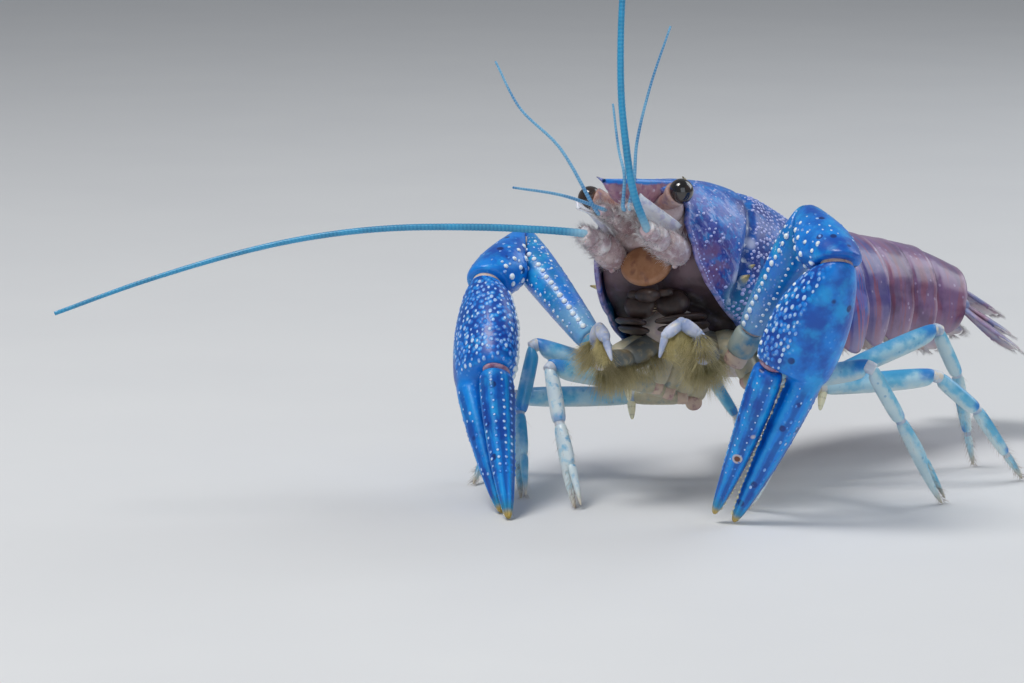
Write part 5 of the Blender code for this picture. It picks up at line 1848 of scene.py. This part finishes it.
def pleopods(k, middle, turn, plate):
    """The paired paddles under a tail ring, edged with hair."""
    for name, sign in SIDES.items():
        root = middle + turn @ Vector((sign * 3.6, 0, -plate * STERNITE_SHARE + 0.7))
        knee = root + turn @ Vector((sign * 0.5, 0.7, -1.7))
        stations = ((0.0, 0.75, 0.6), (0.5, 0.65, 0.55), (1.0, 0.5, 0.45))
        obj = article(f"paddle_root_{k + 1}_{name}", root, knee, turn.col[0], stations, 14)
        settle(obj, "belly_skin")
        strands = []
        for part, drift in (("outer", 0.55), ("inner", -0.35)):
            tip = knee + turn @ Vector((sign * drift, 1.9, -PLEOPOD_LENGTH + 1.9))
            stations = ((0.0, 0.4, 0.25), (0.35, 0.75, 0.28), (0.75, 0.6, 0.22), (1.0, 0.15, 0.12))
            obj = article(f"paddle_{part}_{k + 1}_{name}", knee, tip, turn.col[0], stations, 14)
            settle(obj, "belly_skin")
            for step in range(46):
                share = step % 23 / 22
                edge = 1.0 if step < 23 else -1.0
                way = (tip - knee).normalized()
                out = turn.col[0] * edge
                point = knee.lerp(tip, 0.25 + 0.75 * share) + out * 0.55 * (1 - share * 0.8)
                aim = (out * 0.7 + way).normalized()
                strands.append((point, aim, way * 0.2, 0.9, 0.1 + 0.35 * share, 0.3 + 0.2 * edge))
        settle(hair(f"paddle_hair_{k + 1}_{name}", strands, FINE_HAIR), "pale_hair")


def vane_place(root, way, across, lift, stations, ribs):
    """Gives the function that places a point of a tail blade's upper side by its two shares."""
    reach, halves, thicks = zip(*stations)

    def place(a, b):
        far = b * reach[-1]
        half = float(np.interp(far, reach, halves))
        if b > BLADE_ROUND:
            rounding = (b - BLADE_ROUND) / (1 - BLADE_ROUND)
            half *= math.sqrt(max(0.0, 1 - rounding**2)) * 0.75 + 0.25
        thick = float(np.interp(far, reach, thicks))
        spread = 2 * a - 1
        height = thick * 0.5 * math.sqrt(max(0.0, 1 - spread**4))
        for rib in ribs:
            height += 0.14 * math.exp(-(((spread - rib) / 0.1) ** 2)) * (1 - b)
        height -= 0.12 * math.exp(-(((b - BLADE_CREASE) / 0.012) ** 2))
        return root + way * far + across * spread * half + lift * (height - 0.12 * spread**2 * half)

    return place


def blade(name, root, way, up, stations, ribs, replaced, fringe):
    """One plate of the tail fan, ribbed, and fringed round its far end."""
    across = square_to(way.cross(up), way)
    lift = across.cross(way)
    place = vane_place(root, way, across, lift, stations, ribs)
    obj = sheet_of(name, 36, 50, place)
    set_attribute(obj, "along", grid_shares(obj, 36, 50)[1])
    thicken(obj, BLADE_WALL, root + way * 4 - lift * 3)
    settle(obj, "fan", [replaced])
    draw = random.Random(len(name))
    strands = []
    for k in range(fringe):
        turn = k / (fringe - 1)
        if turn < 0.3:
            a, b = 0.0, 0.62 + 0.36 * turn / 0.3
            out = -across
        elif turn > 0.7:
            a, b = 1.0, 0.98 - 0.36 * (turn - 0.7) / 0.3
            out = across
        else:
            a, b = (turn - 0.3) / 0.4, 1.0
            out = across * (a - 0.5)
        point = place(a, b) - lift * 0.15
        aim = (way * (0.8 if 0.3 <= turn <= 0.7 else 0.9) + out * 0.8).normalized()
        droop = lift * draw.uniform(-0.25, 0.05) + across * draw.uniform(-0.08, 0.08)
        strands.append((point, aim, droop, draw.uniform(0.9, 1.35), map_share(turn), 0.9))
    settle(hair(f"{name}_fringe", strands, FAN_HAIR), "pale_hair")


def tail_fan(root, turn, joint):
    """The last ring's flesh, the middle plate and the two pairs of side blades."""
    up = turn.col[2]
    back = joint.col[1]
    stations = ((0.0, 5.3, 3.0), (0.35, 5.2, 2.9), (0.7, 4.6, 2.2), (0.92, 3.6, 1.4), (1.0, 2.6, 0.8))
    middle = root + joint.col[2] * 0.6
    obj = article("tail_root", middle - back * 1.6, middle + back * 1.9, joint.col[0], stations, 28)
    settle(obj, "tail_root")
    blade("tail_plate", root + up * TELSON_N, turn.col[1], up, TELSON, (-0.35, 0.35), "telson", 240)
    for name, sign in SIDES.items():
        for part, (x, n, spread, droop) in UROPODS.items():
            angle = math.radians(spread)
            way = turn @ Vector((sign * math.sin(angle), math.cos(angle), droop)).normalized()
            start = root + joint @ Vector((sign * x, 0, n))
            tilt = square_to(turn @ Vector((sign * 0.2, 0, 1)).normalized(), way)
            replaced = f"uropod_{name}_{part}"
            blade(f"tail_blade_{part}_{name}", start, way, tilt, UROPOD, (0.0,), replaced, 200)
        hub = root + joint @ Vector((sign * 4.0, 0.2, -0.6))
        settle(ball(f"tail_blade_root_{name}", hub, turn.col, (1.9, 1.3, 1.0), 20, 14), "fan")


def joint_ball(name, centre, way, radius, finish):
    """The ribbed soft skin inside a joint."""
    stations = []
    for k in range(9):
        share = k / 8
        size = radius * (0.86 + (0.07 if k % 2 else -0.02)) * (0.9 + 0.1 * math.sin(math.pi * share))
        stations.append((share, size, size))
    half = way * radius * 0.75
    settle(article(name, centre - half, centre + half, ANY_WAY, stations, 16, levels=1), finish)


def claw(name, sign):
    """One arm from its hip to its wrist, with its beads, and the hand on its end."""
    draw = random.Random(5 if sign > 0 else 6)
    pose = {key: Vector(value) for key, value in CLAWS[name].items()}
    hip, coxa = on_side(CLAW_HIP, sign), on_side(CLAW_COXA, sign)
    knee, wrist = pose["knee"], pose["wrist"]
    ischium = coxa.lerp(knee, ARM_SECOND)
    upper = (knee - coxa).normalized()
    fore = (wrist - knee).normalized()
    hand = (pose["palm_aim"] - wrist).normalized()
    inner = square_to(pose["inner"], hand)
    elbow = (upper + fore).normalized()
    turn = (fore + hand).normalized()

    stations = ((0.0, 1.8, 1.7), (0.15, 1.95, 1.85), (0.6, 2.0, 1.9), (1.0, 1.6, 1.5))
    obj = article(f"arm_hip_{name}", hip - (coxa - hip) * 0.2, coxa, BACK, stations, 22)
    settle(obj, "limb_root", [f"claw_base_{name}"])
    joint_ball(f"arm_hip_skin_{name}", coxa, upper, 1.5, "joint_membrane")
    stations = ((0.0, 1.35, 1.3), (0.12, 1.6, 1.55), (0.6, 1.7, 1.6), (0.92, 1.6, 1.55), (1.0, 1.4, 1.4))
    start, end = coxa + upper * 0.3, ischium - upper * 0.05
    settle(article(f"arm_second_{name}", start, end, pose["inner"], stations, 22), "arm_root")
    joint_ball(f"arm_second_skin_{name}", ischium, upper, 1.25, "joint_membrane")

    side = square_to(pose["inner"], upper)
    start = ischium + upper * 0.05
    obj = article(f"arm_{name}", start, knee, side, ARM, 28, planes=(None, elbow), reach=5.0)
    limb = Limb(Surface(obj), ischium, knee, side, draw)
    settle(obj, "arm", [f"claw_merus_{name}"])
    low = 1.0 if limb.up.z > 0 else -1.0
    spots = []
    for shares, angle, size, wobble in ARM_ROWS:
        spots += limb.row(np.linspace(*shares), math.radians(angle) * low, size, 0.9, 0.2, wobble)
    settle(scatter(f"arm_beads_{name}", "dome", spots), "claw_tubercle")
    spots = limb.spread(130, (0.1, 0.95), (-2.0, 2.0), (0.1, 0.16), 0.6)
    settle(scatter(f"arm_scales_{name}", "dome", spots), "scale")

    joint_ball(f"elbow_skin_{name}", knee, elbow, 1.9, "joint_membrane")
    side = square_to(pose["inner"], fore)
    obj = article(f"forearm_{name}", knee, wrist, side, FOREARM, 28, planes=(elbow, turn), reach=4.2)
    limb = Limb(Surface(obj), knee, wrist, side, draw)
    settle(obj, "claw", [f"claw_carpus_{name}"])
    spots = []
    for angle, count, size in FOREARM_ROWS:
        spots += limb.row(np.linspace(0.28, 0.88, count), math.radians(angle), size, 0.95, 0.25, 0.1)
    settle(scatter(f"forearm_beads_{name}", "dome", spots), "claw_tubercle")
    spots = limb.spread(110, (0.15, 0.95), (-3.1, 3.1), (0.13, 0.24), 0.8)
    settle(scatter(f"forearm_scales_{name}", "dome", spots), "scale")
    joint_ball(f"wrist_skin_{name}", wrist, turn, 2.05, "joint_membrane")
    hand_pieces(name, wrist, hand, inner, turn, pose, draw)


def finger_stations(base, tip, origin, hand, inner, up, bow, sizes, length):
    """Stations of a finger in its hand's own axes, bowed outwards between root and tip."""
    found = []
    for share, wide, deep in sizes:
        centre = base.lerp(tip, share) + inner * (bow * math.sin(math.pi * share)) - origin
        found.append((centre.dot(hand) / length, wide, deep, centre.dot(inner), centre.dot(up)))
    return found


def hand_pieces(name, wrist, hand, inner, turn, pose, draw):
    """The palm with its fixed finger, and the moving finger, with their beads, teeth and hair."""
    up = hand.cross(inner)
    floor_lift = Vector((0, 0, FLOOR_Z + TIP_LIFT))
    fixed_tip = pose["fixed_tip"] + floor_lift
    fixed_base = wrist + hand * (PALM_LENGTH + 0.1) - inner * FIXED_SHIFT
    length = (fixed_tip - wrist).dot(hand)
    stations = [(u / length, wide, deep, shift, 0.0) for u, wide, deep, shift in PALM]
    stations += finger_stations(fixed_base, fixed_tip, wrist, hand, inner, up, -0.1, FINGER_SIZES, length)
    end = wrist + hand * length
    obj = article(f"hand_{name}", wrist, end, inner, stations, 32, planes=(turn, None), reach=4.0)
    mark_tip(obj, fixed_base, fixed_tip)
    rows, scaly, bump = PALM_DRESS[name]
    low, high = (math.radians(angle) for angle in scaly)
    middle, half = (low + high) / 2, (high - low) / 2
    turns = np.empty(len(obj.data.vertices), np.float32)
    obj.data.attributes["turn"].data.foreach_get("value", turns)
    turns = (turns - middle + math.pi) % (2 * math.pi) - math.pi
    u = (points_of(obj) - np.array(wrist)) @ np.array(hand)
    scaly = np.clip(1.4 - np.abs(turns) / half, 0, 1) * np.clip((PALM_LENGTH - u) / 1.5, 0, 1)
    set_attribute(obj, "scaly", scaly)
    palm = Limb(Surface(obj), wrist, end, inner, draw)
    fixed = Limb(palm.surface, fixed_base, fixed_tip, inner, draw)
    settle(obj, "claw", [f"claw_palm_{name}"])

    share = 1.0 / length
    spots = []
    for angle, count, size in rows:
        shares = np.linspace(2.2, 12.6, count) * share
        spots += palm.row(shares, math.radians(angle), size, 0.85, 0.3, 0.05)
    settle(scatter(f"hand_beads_{name}", "dome", spots), "claw_tubercle")
    spots = palm.spread(900, (1.3 * share, 12.9 * share), (low, high), (0.15, 0.29), 0.6)
    spots += fixed.spread(130, (0.03, 0.75), (1.2, 5.0), (0.1, 0.2), 0.55)
    settle(scatter(f"hand_scales_{name}", "dome", spots), "scale")
    teeth = fixed.row(np.linspace(0.06, 0.95, 26), 0.0, 0.24, 1.0, 0.0, 0.1)

    tip = pose["dactyl_tip"]
    tip = tip + floor_lift if tip.z == 0.0 else tip
    base = wrist + hand * (PALM_LENGTH + 0.3) + inner * DACTYL_SHIFT
    length = (tip - base).dot(hand)
    sizes = [(share, wide * 0.95, deep * 0.98) for share, wide, deep in FINGER_SIZES]
    sizes[:1] = [(0.0, 1.45, 1.7), (0.03, 1.72, 2.05)]
    stations = finger_stations(base, tip, base, hand, inner, up, -0.2, sizes, length)
    obj = article(f"finger_{name}", base, base + hand * length, inner, stations, 28)
    mark_tip(obj, base, tip)
    finger = Limb(Surface(obj), base, tip, inner, draw)
    settle(obj, "claw", [f"claw_dactyl_{name}"])
    spots = []
    for angle in BUMP_ANGLES:
        spots += finger.row(np.linspace(0.04, 0.7, 15), math.radians(angle), bump, 0.6, 0.4, 0.06)
    settle(scatter(f"finger_scales_{name}", "dome", spots), "scale")
    teeth += finger.row(np.linspace(0.06, 0.95, 24), math.pi, 0.24, 1.0, 0.0, 0.1)
    settle(scatter(f"finger_teeth_{name}", "dome", teeth), "finger_tooth")
    hub = wrist + hand * (PALM_LENGTH - 0.05) + inner * DACTYL_SHIFT
    settle(ball(f"finger_skin_{name}", hub, (inner, up, hand), (1.35, 1.68, 0.6)), "finger_hinge")
    strands = []
    for edge in (1.0, -1.0):
        for k in range(26):
            share = 0.1 + 0.85 * k / 25
            root = base.lerp(tip, share) - inner * (0.2 * math.sin(math.pi * share)) + up * edge * 0.7
            aim = (up * edge + hand * 0.6 - inner * 0.4).normalized()
            long = draw.uniform(0.7, 1.1) * (1.2 - share * 0.5)
            strands.append((root, aim, hand * 0.2, long, map_share(share), 0.5 + 0.2 * edge))
    settle(hair(f"finger_hair_{name}", strands, LIMB_HAIR), "brown_hair")


def walking_leg(name, start_s, knee, wrist, tip):
    """One leg's six pieces, their skins and hair, and a male's hook on the third and fourth pairs."""
    sign = -1.0 if name.endswith("right") else 1.0
    draw = random.Random(sum(map(ord, name)))
    hip = trunk(sign * LEG_X, start_s, BELLY_N)
    coxa = hip + TRUNK_TURN @ Vector((sign * LEG_COXA.x, LEG_COXA.y, LEG_COXA.z))
    knee, wrist = Vector(knee), Vector(wrist)
    tip = Vector((*tip, FLOOR_Z + TIP_LIFT))
    upper = (knee - coxa).normalized()
    shin = (wrist - knee).normalized()
    foot = (tip - wrist).normalized()
    bend = (upper + shin).normalized()
    side = upper.cross(Vector((0, 0, 1))).normalized()
    top = side.cross(upper)
    top = top if top.z > 0 else -top
    ischium = coxa.lerp(knee, LEG_SECOND)
    ankle = wrist.lerp(tip, ANKLE)
    rank = name[4]
    shell = "leg_pale" if rank == "2" else "leg"

    def piece(part, start, end, inner, sides, shape=None, **ends):
        return article(f"{name}_{part}", start, end, inner, LEG_PIECES[shape or part], sides, **ends)

    settle(piece("hip", hip + (hip - coxa) * 0.25, coxa, side, 18), "limb_root", [f"{name}_upper"])
    joint_ball(f"{name}_hip_skin", coxa, upper, 1.15, "joint_membrane")
    settle(piece("second", coxa, ischium - upper * 0.12, top, 18), "limb_root")
    joint_ball(f"{name}_second_skin", ischium, upper, 0.95, "leg_membrane")
    obj = piece("thigh", ischium + upper * 0.12, knee, top, 20, planes=(None, bend), reach=2.4)
    settle(obj, "leg")
    joint_ball(f"{name}_knee_skin", knee, bend, 0.86, "leg_membrane")
    middle = (shin + foot).normalized()
    obj = piece("shin", knee, wrist, top, 18, planes=(bend, middle), reach=2.0)
    settle(obj, shell, [f"{name}_lower"])
    joint_ball(f"{name}_shin_skin", wrist, middle, 0.68, "leg_membrane")
    if rank in "23":
        nip = square_to(top, foot)
        far = tip + nip * 0.62
        far.z = max(far.z, tip.z)
        ends = [piece("foot", wrist, tip, nip, 18, "pincer")]
        ends.append(piece("nipper", wrist.lerp(tip, 0.5) + nip * 0.52, far, nip, 16))
    else:
        settle(piece("foot", wrist, ankle - foot * 0.08, top, 18), shell)
        joint_ball(f"{name}_ankle_skin", ankle, foot, 0.5, "leg_membrane")
        ends = [piece("toe", ankle + foot * 0.08, tip, top, 16)]
    for obj in ends:
        mark_tip(obj, wrist, tip)
        settle(obj, shell)
    strands = []
    for _ in range(LEG_HAIR_COUNT):
        share = draw.random() ** 0.6
        root = wrist.lerp(tip, share)
        turn = draw.uniform(0, 2 * math.pi)
        upper_side = square_to(top, foot)
        out = upper_side * math.cos(turn) + foot.cross(upper_side) * math.sin(turn)
        root += out * 0.62 * (1 - 0.75 * share)
        aim = (out + foot * draw.uniform(0.6, 1.4)).normalized()
        length = draw.uniform(0.5, 1.15)
        strands.append((root, aim, foot * 0.3, length, map_share(share), turn / MAP_TURN))
    settle(hair(f"{name}_hair", strands, LIMB_HAIR), "brown_hair")
    if rank in "34":
        end = ischium - UP * HOOK_LENGTH - upper * 0.3
        obj = piece("hook", ischium, end, upper, 14)
        settle(obj, "finger_tooth")
        set_attribute(obj, "height", np.linspace(0.2, 1.0, len(obj.data.vertices)))


def stage_and_camera():
    """A pale floor, three soft lights and the photograph's view."""
    clear_choice()
    bpy.ops.mesh.primitive_plane_add(size=6.0, location=(0, 0, -0.0001))
    floor = bpy.context.object
    floor.name = "floor"
    f = Finish("pale_floor")
    cloud = f.noise(30.0, 4.0)
    f.base(cloud, (0.74, 0.75, 0.77), (0.78, 0.79, 0.80))
    floor.data.materials.append(f.wear(0.6 + cloud * 0.1))
    world = bpy.data.worlds.new("soft_studio")
    bpy.context.scene.world = world
    world.use_nodes = True
    backdrop = world.node_tree.nodes["Background"]
    backdrop.inputs["Color"].default_value = (0.86, 0.90, 0.96, 1.0)
    backdrop.inputs["Strength"].default_value = 0.26
    for name, spot, size, power, colour in (
        ("key_light", (-0.12, -0.25, 0.60), 0.25, 2.6, (1.0, 0.98, 0.95)),
        ("fill_light", (0.50, -0.45, 0.25), 0.5, 0.8, (0.85, 0.93, 1.0)),
        ("rim_light", (0.25, 0.45, 0.35), 0.4, 1.2, (0.9, 0.95, 1.0)),
    ):
        light = bpy.data.lights.new(name, "AREA")
        light.size = size
        light.energy = power
        light.color = colour
        lamp = new_object(name, light)
        lamp.location = spot
        lamp.rotation_euler = (Vector(spot) - LIT_POINT).to_track_quat("Z", "Y").to_euler()
    lens = bpy.data.cameras.new("camera")
    lens.lens = CAMERA_LENS
    lens.sensor_width = 36.0
    lens.sensor_fit = "HORIZONTAL"
    lens.clip_start = 0.01
    camera = new_object("camera", lens)
    camera.location = eye_centre + EYE_TO_CAMERA * MM
    camera.rotation_euler = [math.radians(a) for a in CAMERA_TURN]
    bpy.context.scene.camera = camera
    bpy.context.scene.view_settings.view_transform = "Standard"


stage_and_camera()
shell = carapace()
carapace_granules(shell)
rostrum()
eyes()
head_front()
feeler_bases()
antenna_scales()
feelers()
foot_jaws()
underside()
abdomen()
for side_name, side_sign in SIDES.items():
    claw(side_name, side_sign)
for leg_name, (leg_s, leg_knee, leg_wrist, leg_tip) in LEGS.items():
    walking_leg(leg_name, leg_s, leg_knee, leg_wrist, leg_tip)
